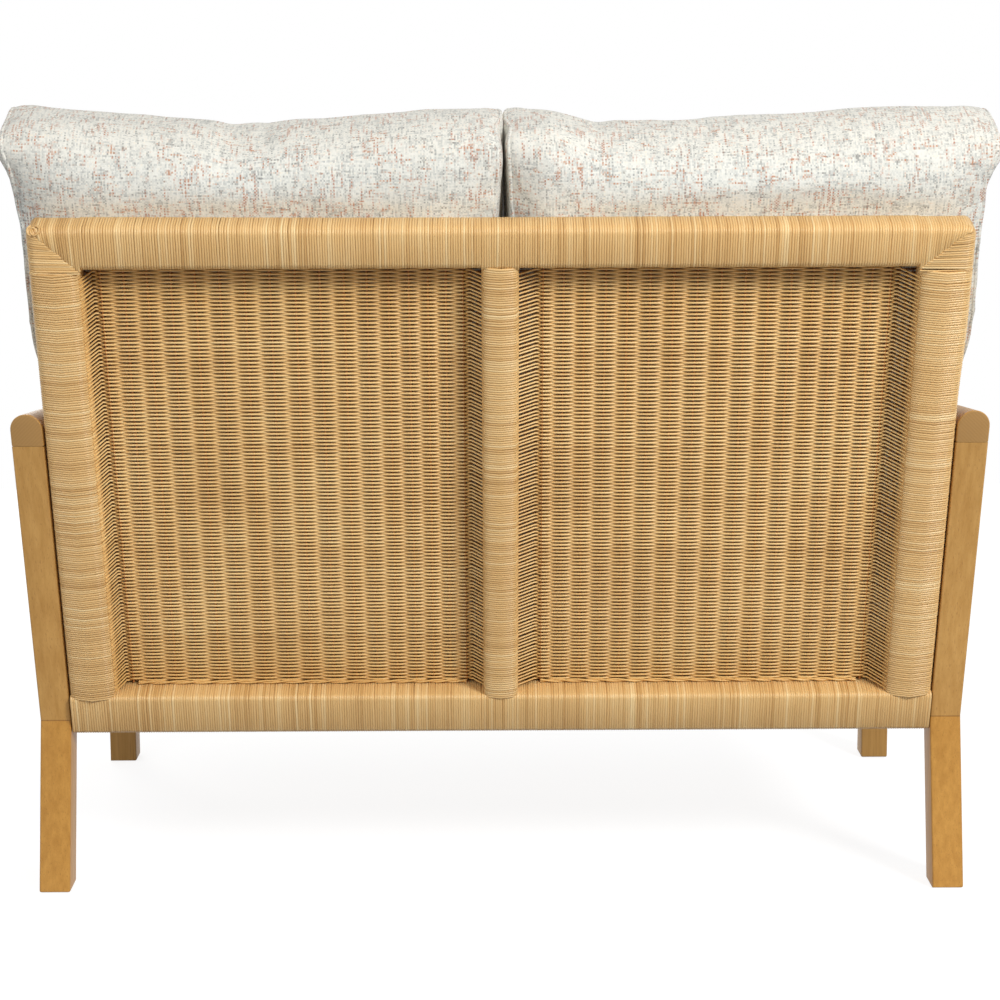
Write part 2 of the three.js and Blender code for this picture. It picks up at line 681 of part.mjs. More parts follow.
function addSeatFrame() {
  const railHalf = innerHalf - fitGap;
  const sections = woundSections([frontRailFront, -frontRailHeight], [frontRailRear, 0]);
  const ends = [new THREE.Plane(X, railHalf), new THREE.Plane(X, -railHalf)];
  const frontBolt = boltInSeat(halfWidth, frontBoltPoint);
  const rearBolt = boltInSeat(innerHalf + sideRailThickness, rearBoltPoint);
  const railBores = (bolt) =>
    [-1, 1].map((side) =>
      roundBar(
        side * (bolt.tip - fitGap),
        side * (innerHalf + cutOverrun),
        bolt.point.y,
        bolt.point.z,
        boltRadius + fitGap,
      ),
    );
  place(seat, "wrap_front_rail", member(sections.skin, Y, Z, ...ends), rattan);
  place(seat, "core_front_rail", cutBy(member(sections.core, Y, Z, ...ends), railBores(frontBolt)), core);

  const rearRail = block(vector(-railHalf, -rearRailDepth, -rearRailHeight), vector(railHalf, 0, 0));
  place(seat, "rear_seat_rail", cutBy(rearRail, railBores(rearBolt)), timber);

  const bayRear = -rearRailDepth - fitGap;
  const bayFront = frontRailRear + fitGap;
  const underSlats = -slatThickness - fitGap;
  const centreRail = block(
    vector(-centreRailWidth / 2, bayFront, underSlats - centreRailHeight),
    vector(centreRailWidth / 2, bayRear, underSlats),
  );
  place(seat, "centre_seat_rail", centreRail, timber);

  for (const [side, word] of [[-1, "left"], [1, "right"]]) {
    const [fromX, toX] = sideSpan(side, railHalf - ledgerWidth, railHalf);
    const screwPlaces = { rear: bayRear - ledgerScrewInset, front: bayFront + ledgerScrewInset };
    const screwHeight = underSlats - ledgerHeight / 2;
    const ledgerFace = railHalf - ledgerWidth;
    const screwTip = ledgerFace + screwLength;
    const mouth = side * (ledgerFace - cutOverrun);
    const headSeat = side * (ledgerFace + screwHeadHeight + fitGap);
    const bores = Object.values(screwPlaces).flatMap((y) => [
      roundBar(mouth, side * (screwTip + fitGap), y, screwHeight, screwRadius + fitGap),
      roundBar(mouth, headSeat, y, screwHeight, screwHeadRadius + fitGap),
    ]);
    const low = vector(fromX, bayFront, underSlats - ledgerHeight);
    const ledger = block(low, vector(toX, bayRear, underSlats));
    place(seat, `ledger_${word}`, cutBy(ledger, bores), timber);
    for (const [end, y] of Object.entries(screwPlaces)) {
      const screw = screwGeometry(side, ledgerFace, screwTip, vector(0, y, screwHeight));
      place(seat, `ledger_screw_${word}_${end}`, screw, steel);
    }
    for (const [end, bolt] of Object.entries({ front: frontBolt, rear: rearBolt }))
      place(seat, `${end}_seat_bolt_${word}`, boltGeometry(side, bolt.faceX, bolt.tip, bolt.point), steel);
  }

  const bayLength = bayRear - bayFront;
  const slatWidth = (bayLength - (slatCount - 1) * slatGap) / slatCount;
  for (let i = 0; i < slatCount; i++) {
    const front = bayFront + i * (slatWidth + slatGap);
    const slat = block(vector(-railHalf, front, -slatThickness), vector(railHalf, front + slatWidth, 0));
    place(seat, `slat_${i + 1}`, slat, timber);
  }
}

// A screw that is driven outwards from the ledger's inner face.
function screwGeometry(side, headX, tipX, point) {
  const corners = [
    [0, headX],
    [screwHeadRadius, headX],
    [screwRadius, headX + screwHeadHeight],
    [screwRadius, tipX],
    [0, tipX],
  ];
  return turnedAlongX(side, corners, point);
}

// Cushions

// A block with rounded edges as a grid of points, closer together near the edges. The radius of the
// edges is given along each axis. The function shape moves each point, and it is given the point's
// place from -1 to 1 on each axis.
function cushionGeometry(half, radius, steps, shape) {
  const geometry = new THREE.BoxGeometry(1, 1, 1, ...steps);
  const position = geometry.attributes.position;
  const flat = half.clone().sub(radius);
  for (let i = 0; i < position.count; i++) {
    const share = new THREE.Vector3().fromBufferAttribute(position, i).multiplyScalar(2);
    const spread = vector(...share.toArray().map((value) => Math.sin((value * Math.PI) / 2)));
    const point = spread.multiply(half);
    const inner = point.clone().clamp(flat.clone().negate(), flat);
    const outward = point.clone().sub(inner).divide(radius).normalize();
    const rounded = inner.add(outward.multiply(radius));
    const moved = shape(rounded.clone(), rounded.divide(half));
    position.setXYZ(i, moved.x, moved.y, moved.z);
  }
  geometry.deleteAttribute("normal");
  geometry.deleteAttribute("uv");
  const closed = mergeVertices(geometry);
  closed.computeVertexNormals();
  return closed;
}

function swell(place) {
  return Math.cos((place * Math.PI) / 2);
}

// Places along the seat: the cushion's rear side clears the leaning back, which it nears at the
// slats, and its front side passes the front rail.
const seatCushionRear = -seatCushionRearClear;
const seatCushionFront = frontRailFront - seatCushionOverhang;

function seatCushion(side) {
  const half = vector(
    (innerHalf - cushionSideGap - cushionGap) / 2,
    (seatCushionRear - seatCushionFront) / 2,
    (seatCushionThickness - fitGap) / 2,
  );
  const middle = (seatCushionRear + seatCushionFront) / 2;
  const centre = vector(side * (cushionGap + half.x), middle, fitGap + half.z);
  const steps = [cushionAcrossSteps, cushionUpSteps, cushionThickSteps];
  const radius = vector(seatRoundAcross, seatRoundAlong, seatRoundUp);
  return cushionGeometry(half, radius, steps, (point, place) => {
    const upper = Math.max(place.z, 0);
    point.x -= place.x * seatSideDraw * swell(place.y);
    point.y -= place.y * seatSideDraw * swell(place.x);
    point.z += seatCushionCrown * upper * swell(place.x) * swell(place.y);
    return point.add(centre);
  });
}

const squash = backLean - seatSlope; // between the back cushion's square end and the seat it stands on

// A point of the seat cushion's crowned upper face, where the back cushion's flat foot ends in front.
function standingPoint() {
  const topPlane = planeAt(seatPoint(0, seatCushionThickness), seatUp);
  const behind = inSeat(meet(backPoint(backDepth, 0), leanUp, topPlane));
  const along = behind.y - (backCushionThickness - backRound) / Math.cos(squash);
  const middle = (seatCushionRear + seatCushionFront) / 2;
  const crown = seatCushionCrown * swell((along - middle) / (seatCushionRear - middle));
  return seatPoint(-along, seatCushionThickness + crown + fitGap);
}

function backCushion(side, dipShare) {
  const rearFace = -backDepth - fitGap;
  const stand = inBack(standingPoint());
  const bottom = stand.z + (rearFace - stand.y) * Math.tan(squash);
  const half = vector(
    (innerHalf - cushionSideGap - cushionGap) / 2,
    backCushionThickness / 2,
    (backCushionTop - bottom) / 2,
  );
  const centre = vector(side * (cushionGap + half.x), rearFace - half.y, (backCushionTop + bottom) / 2);
  const armLevel = (armTopHeight - backLift) / Math.cos(backLean);
  const steps = [cushionAcrossSteps, cushionThickSteps, cushionUpSteps];
  const radius = vector(backRoundAcross, backRound, backRound);
  return cushionGeometry(half, radius, steps, (point, place) => {
    const height = centre.z + point.z;
    const outer = Math.max(place.x * side, 0);
    const inner = Math.max(-place.x * side, 0);
    const inCorner = THREE.MathUtils.clamp((point.z + backCornerUp - half.z) / backCornerUp, 0, 1);
    point.x -= place.x * backCornerAcross * (1 - Math.sqrt(1 - inCorner * inCorner)) * outer;
    const shoulder = THREE.MathUtils.smoothstep(height, armLevel, armLevel + backShoulderRise);
    const flare = THREE.MathUtils.smoothstep(height, backCushionTop - backFlareRise, backCushionTop);
    point.x += side * outer * (backShoulder * shoulder + backFlare * flare);
    point.x += side * inner * backInnerDraw * (1 - flare);
    point.y -= backCushionCrown * Math.max(-place.y, 0) * swell(place.x) * swell(place.z);
    const dipPlace = THREE.MathUtils.lerp(1, -1, dipShare) * side;
    const dip = Math.max(swell(THREE.MathUtils.clamp(place.x - dipPlace, -1, 1)), 0);
    point.z -= backCornerDip * dip * Math.max(place.z, 0);
    const forward = half.y - point.y;
    point.z -= forward * Math.tan(squash) * Math.max(-place.z, 0);
    return point.add(centre);
  });
}

// A point of the whole sofa in the back's axes.
function inBack(point) {
  const offset = point.clone().sub(backOrigin);
  return vector(point.x, offset.dot(leanBack), offset.dot(leanUp));
}

function addCushions() {
  for (const [side, word, dipShare] of [[-1, "left", leftDipShare], [1, "right", rightDipShare]]) {
    place(seat, `seat_cushion_${word}`, seatCushion(side), tweed);
    place(back, `back_cushion_${word}`, backCushion(side, dipShare), tweed);
  }
}

addSideFrame(-1, "left");
addSideFrame(1, "right");
addBackFrame();
addBackBolts();
addSeatFrame();
addCushions();

// The origin is on the floor under the middle of the whole sofa.
sofa.updateMatrixWorld(true);
const bounds = new THREE.Box3().setFromObject(sofa, true);
sofa.position.y = -(bounds.min.y + bounds.max.y) / 2;

export default sofa;
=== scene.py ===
"""A two-seat garden sofa: kinked timber side frames, a back frame wound with rattan that holds two
woven panels, a slatted seat, and four loose tweed cushions. Metres, +X to the right seen from the
front, +Y to the rear, +Z up. The camera looks at it from behind."""

import math
import random

import bmesh
import bpy
from mathutils import Matrix, Vector, noise
from mathutils.bvhtree import BVHTree
from mathutils.kdtree import KDTree


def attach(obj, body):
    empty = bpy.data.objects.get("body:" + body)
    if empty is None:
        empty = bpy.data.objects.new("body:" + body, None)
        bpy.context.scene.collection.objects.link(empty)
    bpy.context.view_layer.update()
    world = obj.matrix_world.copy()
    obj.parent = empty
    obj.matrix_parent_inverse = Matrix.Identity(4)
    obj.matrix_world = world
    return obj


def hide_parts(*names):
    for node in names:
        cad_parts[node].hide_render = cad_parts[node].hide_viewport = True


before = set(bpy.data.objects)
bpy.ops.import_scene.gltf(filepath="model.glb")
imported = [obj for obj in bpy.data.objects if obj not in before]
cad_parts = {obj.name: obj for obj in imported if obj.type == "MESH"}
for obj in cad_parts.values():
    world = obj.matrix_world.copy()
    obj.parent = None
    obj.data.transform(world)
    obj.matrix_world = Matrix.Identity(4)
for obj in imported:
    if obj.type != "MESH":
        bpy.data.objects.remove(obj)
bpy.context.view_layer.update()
scene = bpy.context.scene

# The leaning back and the sloping seat, as in the part's source. In the back's own axes X runs along
# its rails, Y is its depth with the rear face at 0, and Z runs up the lean.
LEAN = math.radians(19.2)
SLOPE = math.radians(4)
BACK = Matrix.Translation((0, 0.20071, 0.1981)) @ Matrix.Rotation(-LEAN, 4, "X")
SEAT = Matrix.Translation((0, 0.16161, 0.252)) @ Matrix.Rotation(-SLOPE, 4, "X")
KNEE = 0.2182
BACK_HALF = 0.5568
BACK_HEIGHT = 0.710
BACK_DEPTH = 0.044
TOP_RAIL = 0.052
BOTTOM_RAIL = 0.058
STILE = 0.060
CENTRE_STILE = 0.045
WRAP_ROUND = 0.008
STILE_ROUND = 0.012
FULLER = 0.0025  # the top rail's winding reaches this far below the frame's rail
FRONT_RAIL = (-0.58971, -0.54471, 0.070)
FRONT_RAIL_HALF = 0.5597


# ---- small tools -------------------------------------------------------------------------------


def colour(code):
    """The linear colour of an sRGB hex value."""
    parts = [int(code[i : i + 2], 16) / 255 for i in (1, 3, 5)]
    return [p / 12.92 if p <= 0.04045 else ((p + 0.055) / 1.055) ** 2.4 for p in parts] + [1]


def add(tree, kind, inputs=None, stops=(), **settings):
    """A node with its settings. A shader node's kind is given without its prefix. An input is a value,
    or an output to link, and a node stands for its first output. A colour ramp's stops are places and
    hex values, the two ends first."""
    node = tree.nodes.new(kind if "Node" in kind else "ShaderNode" + kind)
    for name, value in settings.items():
        setattr(node, name, value)
    for i, (place, code) in enumerate(stops):
        elements = node.color_ramp.elements
        stop = elements[i] if i < 2 else elements.new(place)
        stop.position, stop.color = place, colour(code)
    for key, value in (inputs or {}).items():
        if isinstance(value, bpy.types.Node):
            value = value.outputs[0]
        if isinstance(value, bpy.types.NodeSocket):
            tree.links.new(value, node.inputs[key])
        else:
            node.inputs[key].default_value = value
    return node


def eased_share(share):
    """A share from 0 to 1 that starts and ends softly."""
    share = min(1.0, max(0.0, share))
    return share * share * (3 - 2 * share)


def hump(x, place, width, height):
    """A bell curve round a place."""
    return height * math.exp(-(((x - place) / width) ** 2))


def make_object(name, mesh):
    made = bpy.data.objects.new(name, mesh)
    scene.collection.objects.link(made)
    return made


def mesh_of(name, points, faces=(), edges=()):
    mesh = bpy.data.meshes.new(name)
    mesh.from_pydata([tuple(p) for p in points], [tuple(e) for e in edges], [tuple(f) for f in faces])
    return mesh


def modified(piece):
    """The mesh that a piece's modifiers make of it. The modifiers go."""
    bpy.context.view_layer.update()
    mesh = bpy.data.meshes.new_from_object(piece.evaluated_get(bpy.context.evaluated_depsgraph_get()))
    piece.modifiers.clear()
    return mesh


def joined(name, parts):
    """Joins objects into the first one, which takes the name."""
    if len(parts) > 1:
        with bpy.context.temp_override(active_object=parts[0], selected_editable_objects=parts):
            bpy.ops.object.join()
    parts[0].name = parts[0].data.name = name
    return parts[0]


def opened(node, home=Matrix()):
    """A copy of a frame node's mesh, moved by home from the sofa's axes, and the same mesh open for
    editing, with its doubles merged."""
    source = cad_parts[node]
    mesh = source.data.copy()
    mesh.transform(home @ source.matrix_world)
    made = bmesh.new()
    made.from_mesh(mesh)
    bmesh.ops.remove_doubles(made, verts=made.verts, dist=1e-5)
    return mesh, made


def closed(mesh, made):
    made.to_mesh(mesh)
    made.free()


def painted(mesh, finish):
    mesh.materials.clear()
    mesh.materials.append(finish)


def sliced(made, place, normal, **settings):
    """Cuts the faces along a plane. Returns the edges of the cut."""
    whole = made.verts[:] + made.edges[:] + made.faces[:]
    cut = bmesh.ops.bisect_plane(made, geom=whole, plane_co=place, plane_no=normal, **settings)
    return [e for e in cut["geom_cut"] if isinstance(e, bmesh.types.BMEdge)]


def dress(piece, body, nodes=()):
    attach(piece, body)
    if nodes:
        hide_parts(*nodes)
    return piece


# ---- camera, light and floor -------------------------------------------------------------------


def add_camera():
    """The photograph's viewpoint: a long lens behind the sofa, a little above it."""
    yaw, pitch, roll = math.radians(-0.294), math.radians(9.58), math.radians(-0.212)
    forward = Vector((math.sin(yaw) * math.cos(pitch), -math.cos(yaw) * math.cos(pitch), -math.sin(pitch)))
    right = forward.cross(Vector((0, 0, 1))).normalized()
    up = right.cross(forward)
    tilted_right = right * math.cos(roll) + up * math.sin(roll)
    tilted_up = up * math.cos(roll) - right * math.sin(roll)
    lens = bpy.data.cameras.new("camera")
    lens.lens = 91.875
    lens.sensor_width = 36
    camera = make_object("camera", lens)
    axes = Matrix((tilted_right, tilted_up, -forward)).transposed()
    stand = (0.01678, 3.43585, 1.05278)
    camera.matrix_world = Matrix.Translation(stand) @ axes.to_4x4()
    scene.camera = camera


def background_share(tree):
    """1 for what the camera sees, directly or in a shiny or clear surface, and 0 for all other light."""
    seen = add(tree, "LightPath").outputs
    shiny = add(tree, "Math", {0: seen["Is Glossy Ray"], 1: seen["Is Transmission Ray"]},
                operation="MAXIMUM")
    return add(tree, "Math", {0: seen["Is Camera Ray"], 1: shiny}, operation="MAXIMUM")


def add_studio():
    scene.view_settings.view_transform = "Standard"
    middle = Vector((0, 0.1, 0.5))
    for name, place, size, power in (
        ("key_lamp", (-2.6, 3.3, 2.7), 1.3, 138),
        ("fill_lamp", (2.2, 3.7, 2.0), 2.4, 36),
        ("top_lamp", (0.0, 1.6, 3.6), 2.0, 9),
        ("front_lamp", (1.8, -3.4, 2.0), 2.0, 36),
    ):
        lamp = bpy.data.lights.new(name, "AREA")
        lamp.shape = "DISK"
        lamp.size = size
        lamp.energy = power
        made = make_object(name, lamp)
        made.location = place
        made.rotation_euler = (middle - Vector(place)).to_track_quat("-Z", "Y").to_euler()

    world = bpy.data.worlds.new("studio")
    scene.world = world
    world.use_nodes = True
    tree = world.node_tree
    tree.nodes.clear()
    seen = background_share(tree)
    ambient = add(tree, "Background", {"Color": colour("#f4f5f7"), "Strength": 0.42})
    white = add(tree, "Background", {"Color": (1, 1, 1, 1), "Strength": 1.0})
    mixed = add(tree, "MixShader", {0: seen, 1: ambient, 2: white})
    add(tree, "OutputWorld", {"Surface": mixed})


def add_floor():
    """A plain white sweep. Seen by the camera it is white, and it keeps the sofa's shadow."""
    half = 3.0
    corners = [(-half, -half, 0), (half, -half, 0), (half, half, 0), (-half, half, 0)]
    floor = make_object("floor", mesh_of("floor", corners, [(0, 1, 2, 3)]))
    paint = bpy.data.materials.new("white_paper_sweep")
    paint.use_nodes = True
    tree = paint.node_tree
    tree.nodes.clear()
    paper = add(tree, "BsdfDiffuse", {"Color": colour("#959595")})
    glow = add(tree, "Emission", {"Color": (1, 1, 1, 1), "Strength": 0.86})
    lit = add(tree, "AddShader", {0: paper, 1: glow})
    mixed = add(tree, "MixShader", {0: background_share(tree), 1: paper, 2: lit})
    add(tree, "OutputMaterial", {"Surface": mixed})
    floor.data.materials.append(paint)


# ---- materials ---------------------------------------------------------------------------------


def material(name, **constants):
    """A new material with a Principled shader whose plain sockets are set, its tree and that shader."""
    made = bpy.data.materials.new(name)
    made.use_nodes = True
    shader = made.node_tree.nodes["Principled BSDF"]
    for key, value in constants.items():
        shader.inputs[key.replace("_", " ")].default_value = value
    return made, made.node_tree, shader


def depth_in_back(tree, place):
    """How deep a place lies behind the back frame's rear face, and how high up the lean, as outputs."""
    home = BACK.inverted()
    turned = add(tree, "Mapping",
                 {"Vector": place, "Location": tuple(home.translation), "Rotation": (LEAN, 0, 0)})
    return add(tree, "SeparateXYZ", {0: turned}).outputs


def rattan(name, pale, honey, shade, variety=0.3, hollow_shade=None):
    """Peeled rattan core, dry and slightly waxy: each strand has its own tone, and its fibres show as
    faint flecks of 2.4 mm and finer. In a woven panel the hollows behind the stakes are painted dark
    brown as painted shade, and the weave is painted a little browner near the rails as the rails' painted
    shadow."""
    made, tree, shader = material(name, Roughness=0.36, IOR=1.5)
    tone = add(tree, "Attribute", attribute_name="tone")
    place = add(tree, "TexCoord").outputs["Object"]
    patches = add(tree, "TexNoise", {"Vector": place, "Scale": 9, "Detail": 3})
    fibres = add(tree, "TexNoise", {"Vector": place, "Scale": 420, "Detail": 4, "Roughness": 0.7})
    spread = add(tree, "MapRange", {"Value": patches, 1: 0.3, 2: 0.7, 3: -0.10, 4: 0.10})
    own = add(tree, "MapRange", {"Value": tone.outputs["Fac"], 1: 0.0, 2: 1.0, 3: -1.0, 4: 1.0})
    rare = add(tree, "Math", {0: own, 1: own}, operation="MULTIPLY")
    tall = add(tree, "Math", {0: rare, 1: own}, operation="MULTIPLY")
    calm = add(tree, "Math", {0: tall, 1: variety, 2: 0.5}, operation="MULTIPLY_ADD")
    level = add(tree, "Math", {0: calm, 1: spread}, operation="ADD")
    fine = add(tree, "MapRange", {"Value": fibres, 1: 0.25, 2: 0.75, 3: -0.06, 4: 0.06})
    total = add(tree, "Math", {0: level, 1: fine}, operation="ADD")
    skin = add(tree, "ValToRGB", {"Fac": total}, ((0.0, shade), (1.0, pale), (0.5, honey))).outputs[0]
    if hollow_shade:
        # Painted shade: strands deep in the weave's hollows turn dark brown, and the weave near the rails
        # browner, as the rails' shadow.
        lean = depth_in_back(tree, place)
        deep_shade = add(tree, "MapRange", {"Value": lean[1], 1: WEAVE_DEPTH + 0.0012, 2: WEAVE_DEPTH - 0.0022})
        middle = add(tree, "Math", {0: lean[2], 1: (PANEL_LOW + PANEL_HIGH) / 2}, operation="SUBTRACT")
        from_middle = add(tree, "Math", {0: middle}, operation="ABSOLUTE")
        rail_shadow = add(tree, "MapRange", {"Value": from_middle, 1: 0.20, 2: 0.29})
        for mask, over, blend in ((deep_shade, colour(hollow_shade), "MIX"), (rail_shadow, (0.86, 0.80, 0.68, 1), "MULTIPLY")):
            skin = add(tree, "Mix", {0: mask, 6: skin, 7: over}, data_type="RGBA",
                       blend_type=blend).outputs[2]
    tree.links.new(skin, shader.inputs["Base Color"])
    bump = add(tree, "Bump", {"Height": fibres, "Strength": 0.12, "Distance": 0.0004})
    tree.links.new(bump.outputs[0], shader.inputs["Normal"])
    return made


def timber(name, grain, knee=None):
    """Light hardwood under a clear satin lacquer: fine pores and faint streaks run with the grain, and
    the coat gives an even, soft gloss. The grain runs along a direction, which is turned onto Z, and a
    sawn end shows faint year rings. Streaks are about 7 mm wide, and pores 1 mm, which is coarser than
    real ones, so that they show. Below the knee of a rear leg the wood is painted a shade lighter and
    more orange, as painted light on that differently turned face, with a thin painted shade line along the
    knee's crease."""
    made, tree, shader = material(name, Roughness=0.5, IOR=1.45, Coat_Weight=0.15, Coat_Roughness=0.3)
    place = add(tree, "TexCoord").outputs["Object"]
    angles = Vector((0, 0, 1)).rotation_difference(Vector(grain)).inverted().to_euler()
    along = add(tree, "Mapping", {"Vector": place, "Rotation": tuple(angles)})
    drawn = add(tree, "VectorMath", {0: along, 1: (1, 1, 0.02)}, operation="MULTIPLY")
    streaks = add(tree, "TexNoise", {"Vector": drawn, "Scale": 150, "Detail": 5, "Roughness": 0.6})
    pores = add(tree, "TexNoise", {"Vector": drawn, "Scale": 900, "Detail": 2, "Roughness": 0.5})
    clouds = add(tree, "TexNoise", {"Vector": place, "Scale": 7, "Detail": 2})
    level = add(tree, "Mix", {0: 0.3, 2: streaks, 3: clouds})
    shade = add(tree, "ValToRGB", {"Fac": level}, ((0.30, "#b0803c"), (0.70, "#cc9d58")))
    pore_mask = add(tree, "MapRange", {"Value": pores, 1: 0.60, 2: 0.72, 3: 0.0, 4: 0.45})
    rings = add(tree, "TexWave", {"Vector": along, "Scale": 95, "Distortion": 1.2, "Detail": 2,
                                  "Detail Scale": 2.0}, wave_type="RINGS", rings_direction="Z")
    ringed = add(tree, "Mix", {0: rings.outputs["Fac"], 6: colour("#a87f48"), 7: colour("#ae854d")},
                 data_type="RGBA").outputs[2]
    normal = add(tree, "TexCoord").outputs["Normal"]
    facing = add(tree, "VectorMath", {0: normal, 1: Vector(grain).normalized()},
                 operation="DOT_PRODUCT").outputs["Value"]
    square = add(tree, "Math", {0: facing, 1: facing}, operation="MULTIPLY")
    end = add(tree, "MapRange", {"Value": square, 1: 0.6, 2: 0.9})
    layers = [(pore_mask, colour("#8a5a2a"), "MIX"), (end, ringed, "MIX")]
    if knee:
        # Painted light below the knee, and a painted shade line along the knee's crease.
        height = add(tree, "SeparateXYZ", {0: place}).outputs[2]
        below = add(tree, "MapRange", {"Value": height, 1: knee, 2: knee - 0.0004})
        crease_shade = add(tree, "Math", {0: height, 1: knee, 2: 0.0009}, operation="COMPARE")
        layers += [(below, (1.11, 1.01, 0.72, 1), "MULTIPLY"), (crease_shade, (0.66, 0.60, 0.52, 1), "MULTIPLY")]
    for mask, over, blend in layers:
        shade = add(tree, "Mix", {0: mask, 6: shade, 7: over}, data_type="RGBA", blend_type=blend).outputs[2]
    tree.links.new(shade, shader.inputs["Base Color"])
    return made


def tweed():
    """Woven tweed of slub yarns, 1.9 mm apart both ways: mostly cream, with stretches of grey, brownish
    grey and rust in single yarns, which show as rows of dots where the yarn comes to the face. The
    pattern follows the cushion's own UV map, which is in metres. Near the top rail the slubs stand out
    more and the cloth is painted a little cooler, as painted shade, and behind the woven panels it is painted
    browner, as painted shade."""
    yarn_pitch = 0.0019
    made, tree, shader = material("woven_slub_tweed", Roughness=0.95, IOR=1.4, Sheen_Weight=0.1,
                                  Sheen_Roughness=0.5)
    flat = add(tree, "UVMap", uv_map="cloth")
    wobble = add(tree, "TexNoise", {"Vector": flat, "Scale": 210, "Detail": 2})
    cloth = add(tree, "VectorMath", {0: wobble.outputs["Color"], 1: (0.0022, 0.0022, 0), 2: flat},
                operation="MULTIPLY_ADD")
    place = add(tree, "SeparateXYZ", {0: cloth}).outputs
    cells = [add(tree, "Math", {0: place[i], 1: 1 / yarn_pitch}, operation="MULTIPLY") for i in (0, 1)]
    column, row = [add(tree, "Math", {0: c}, operation="FLOOR") for c in cells]
    both = add(tree, "Math", {0: column, 1: row}, operation="ADD")
    over = add(tree, "Math", {0: both, 1: 1.0}, operation="PINGPONG")
    share = add(tree, "MapRange", {"Value": over, 3: 0.15, 4: 0.7})
    rest = add(tree, "MapRange", {"Value": over, 3: 0.7, 4: 0.15})

    def along_yarn(yarn, along, frequency, offset):
        """A value that changes slowly along one yarn and is unlike its neighbours' values."""
        own = add(tree, "Math", {0: yarn, 1: 1.7, 2: offset}, operation="MULTIPLY_ADD")
        run = add(tree, "Math", {0: along, 1: frequency}, operation="MULTIPLY")
        spot = add(tree, "CombineXYZ", {0: own, 1: run, 2: offset})
        return add(tree, "TexNoise", {"Vector": spot, "Scale": 1, "Detail": 1})

    warp = along_yarn(column, place[1], 45, 3.1)
    weft = along_yarn(row, place[0], 45, 8.7)
    face = add(tree, "Mix", {0: share, 2: warp, 3: weft})
    clouds = add(tree, "TexNoise", {"Vector": cloth, "Scale": 24, "Detail": 3})
    shift = add(tree, "MapRange", {"Value": clouds, 1: 0.3, 2: 0.7, 3: -0.03, 4: 0.03})
    crossing = add(tree, "CombineXYZ", {0: column, 1: row})
    grain = add(tree, "TexWhiteNoise", {"Vector": crossing})
    speck = add(tree, "MapRange", {"Value": grain, 3: -0.12, 4: 0.10})
    soft = add(tree, "Math", {0: face, 1: shift}, operation="ADD")
    level = add(tree, "Math", {0: soft, 1: speck}, operation="ADD")
    base = add(tree, "ValToRGB", {"Fac": level}, ((0.26, "#b9b8b1"), (0.74, "#ece4d3"), (0.36, "#cfcec6"),
                                                  (0.44, "#dcdad0"), (0.52, "#e6e3d8"), (0.62, "#ebe8de")))
    # Painted shade: a back cushion's rear, from a little above the top rail down, is tinted cooler, and it
    # also gets more slubs there.
    lean = depth_in_back(tree, add(tree, "TexCoord").outputs["Object"])
    low = add(tree, "MapRange", {"Value": lean[2], 1: BACK_HEIGHT + 0.085, 2: BACK_HEIGHT})
    behind = add(tree, "MapRange", {"Value": lean[2], 1: PANEL_HIGH + 0.03, 2: PANEL_HIGH - 0.06})
    rear = add(tree, "MapRange", {"Value": lean[1], 1: -0.09, 2: -0.06})
    cool_shade_and_slubs, painted_shade_behind_weave = [add(tree, "Math", {0: m, 1: rear}, operation="MULTIPLY") for m in (low, behind)]
    layers = []
    for yarn, along, weight, frequency, limit, offset, code in (
        (column, place[1], rest, 48, 0.660, 17.3, "#b0590f"),
        (row, place[0], share, 60, 0.680, 29.9, "#bb6c1e"),
        (column, place[1], rest, 70, 0.665, 41.7, "#8f908c"),
        (row, place[0], share, 80, 0.685, 57.1, "#7d7870"),
    ):
        groups = add(tree, "TexNoise", {"Vector": cloth, "Scale": offset, "Detail": 1})
        denser = add(tree, "MapRange", {"Value": groups, 1: 0.35, 2: 0.65, 3: -0.05, 4: 0.05})
        more = add(tree, "Math", {0: cool_shade_and_slubs, 1: 0.020, 2: denser}, operation="MULTIPLY_ADD")
        slub = add(tree, "Math", {0: along_yarn(yarn, along, frequency, offset), 1: more}, operation="ADD")
        seen = add(tree, "MapRange", {"Value": slub, 1: limit - 0.05, 2: limit + 0.05})
        opaque = add(tree, "Math", {0: seen, 1: weight}, operation="MULTIPLY")
        layers.append((opaque, colour(code), "MIX"))
    # Painted shade: the cooler tint near the top rail, and the browner tint behind the woven panels.
    layers += [(cool_shade_and_slubs, (1.00, 1.05, 1.10, 1), "MULTIPLY"), (painted_shade_behind_weave, (0.91, 0.84, 0.76, 1), "MULTIPLY")]
    for mask, over, blend in layers:
        base = add(tree, "Mix", {0: mask, 6: base, 7: over}, data_type="RGBA", blend_type=blend).outputs[2]
    tree.links.new(base, shader.inputs["Base Color"])
    rounds = [add(tree, "Math", {0: c, 1: 0.5}, operation="PINGPONG") for c in cells]
    height = add(tree, "Math", {0: rounds[0], 1: rounds[1]}, operation="MULTIPLY")
    rough = add(tree, "Math", {0: face, 1: height}, operation="ADD")
    bump = add(tree, "Bump", {"Height": rough, "Strength": 0.55, "Distance": 0.0009})
    tree.links.new(bump.outputs[0], shader.inputs["Normal"])
    return made


def plain(name, code, variation, scale, **constants):
    """A plain finish whose colour varies a little over the surface."""
    made, tree, shader = material(name, **constants)
    place = add(tree, "TexCoord").outputs["Object"]
    clouds = add(tree, "TexNoise", {"Vector": place, "Scale": scale, "Detail": 4})
    darker = [c * variation for c in colour(code)[:3]] + [1]
    shade = add(tree, "Mix", {0: clouds, 6: colour(code), 7: darker}, data_type="RGBA").outputs[2]
    tree.links.new(shade, shader.inputs["Base Color"])
    return made


# ---- wound and woven rattan --------------------------------------------------------------------


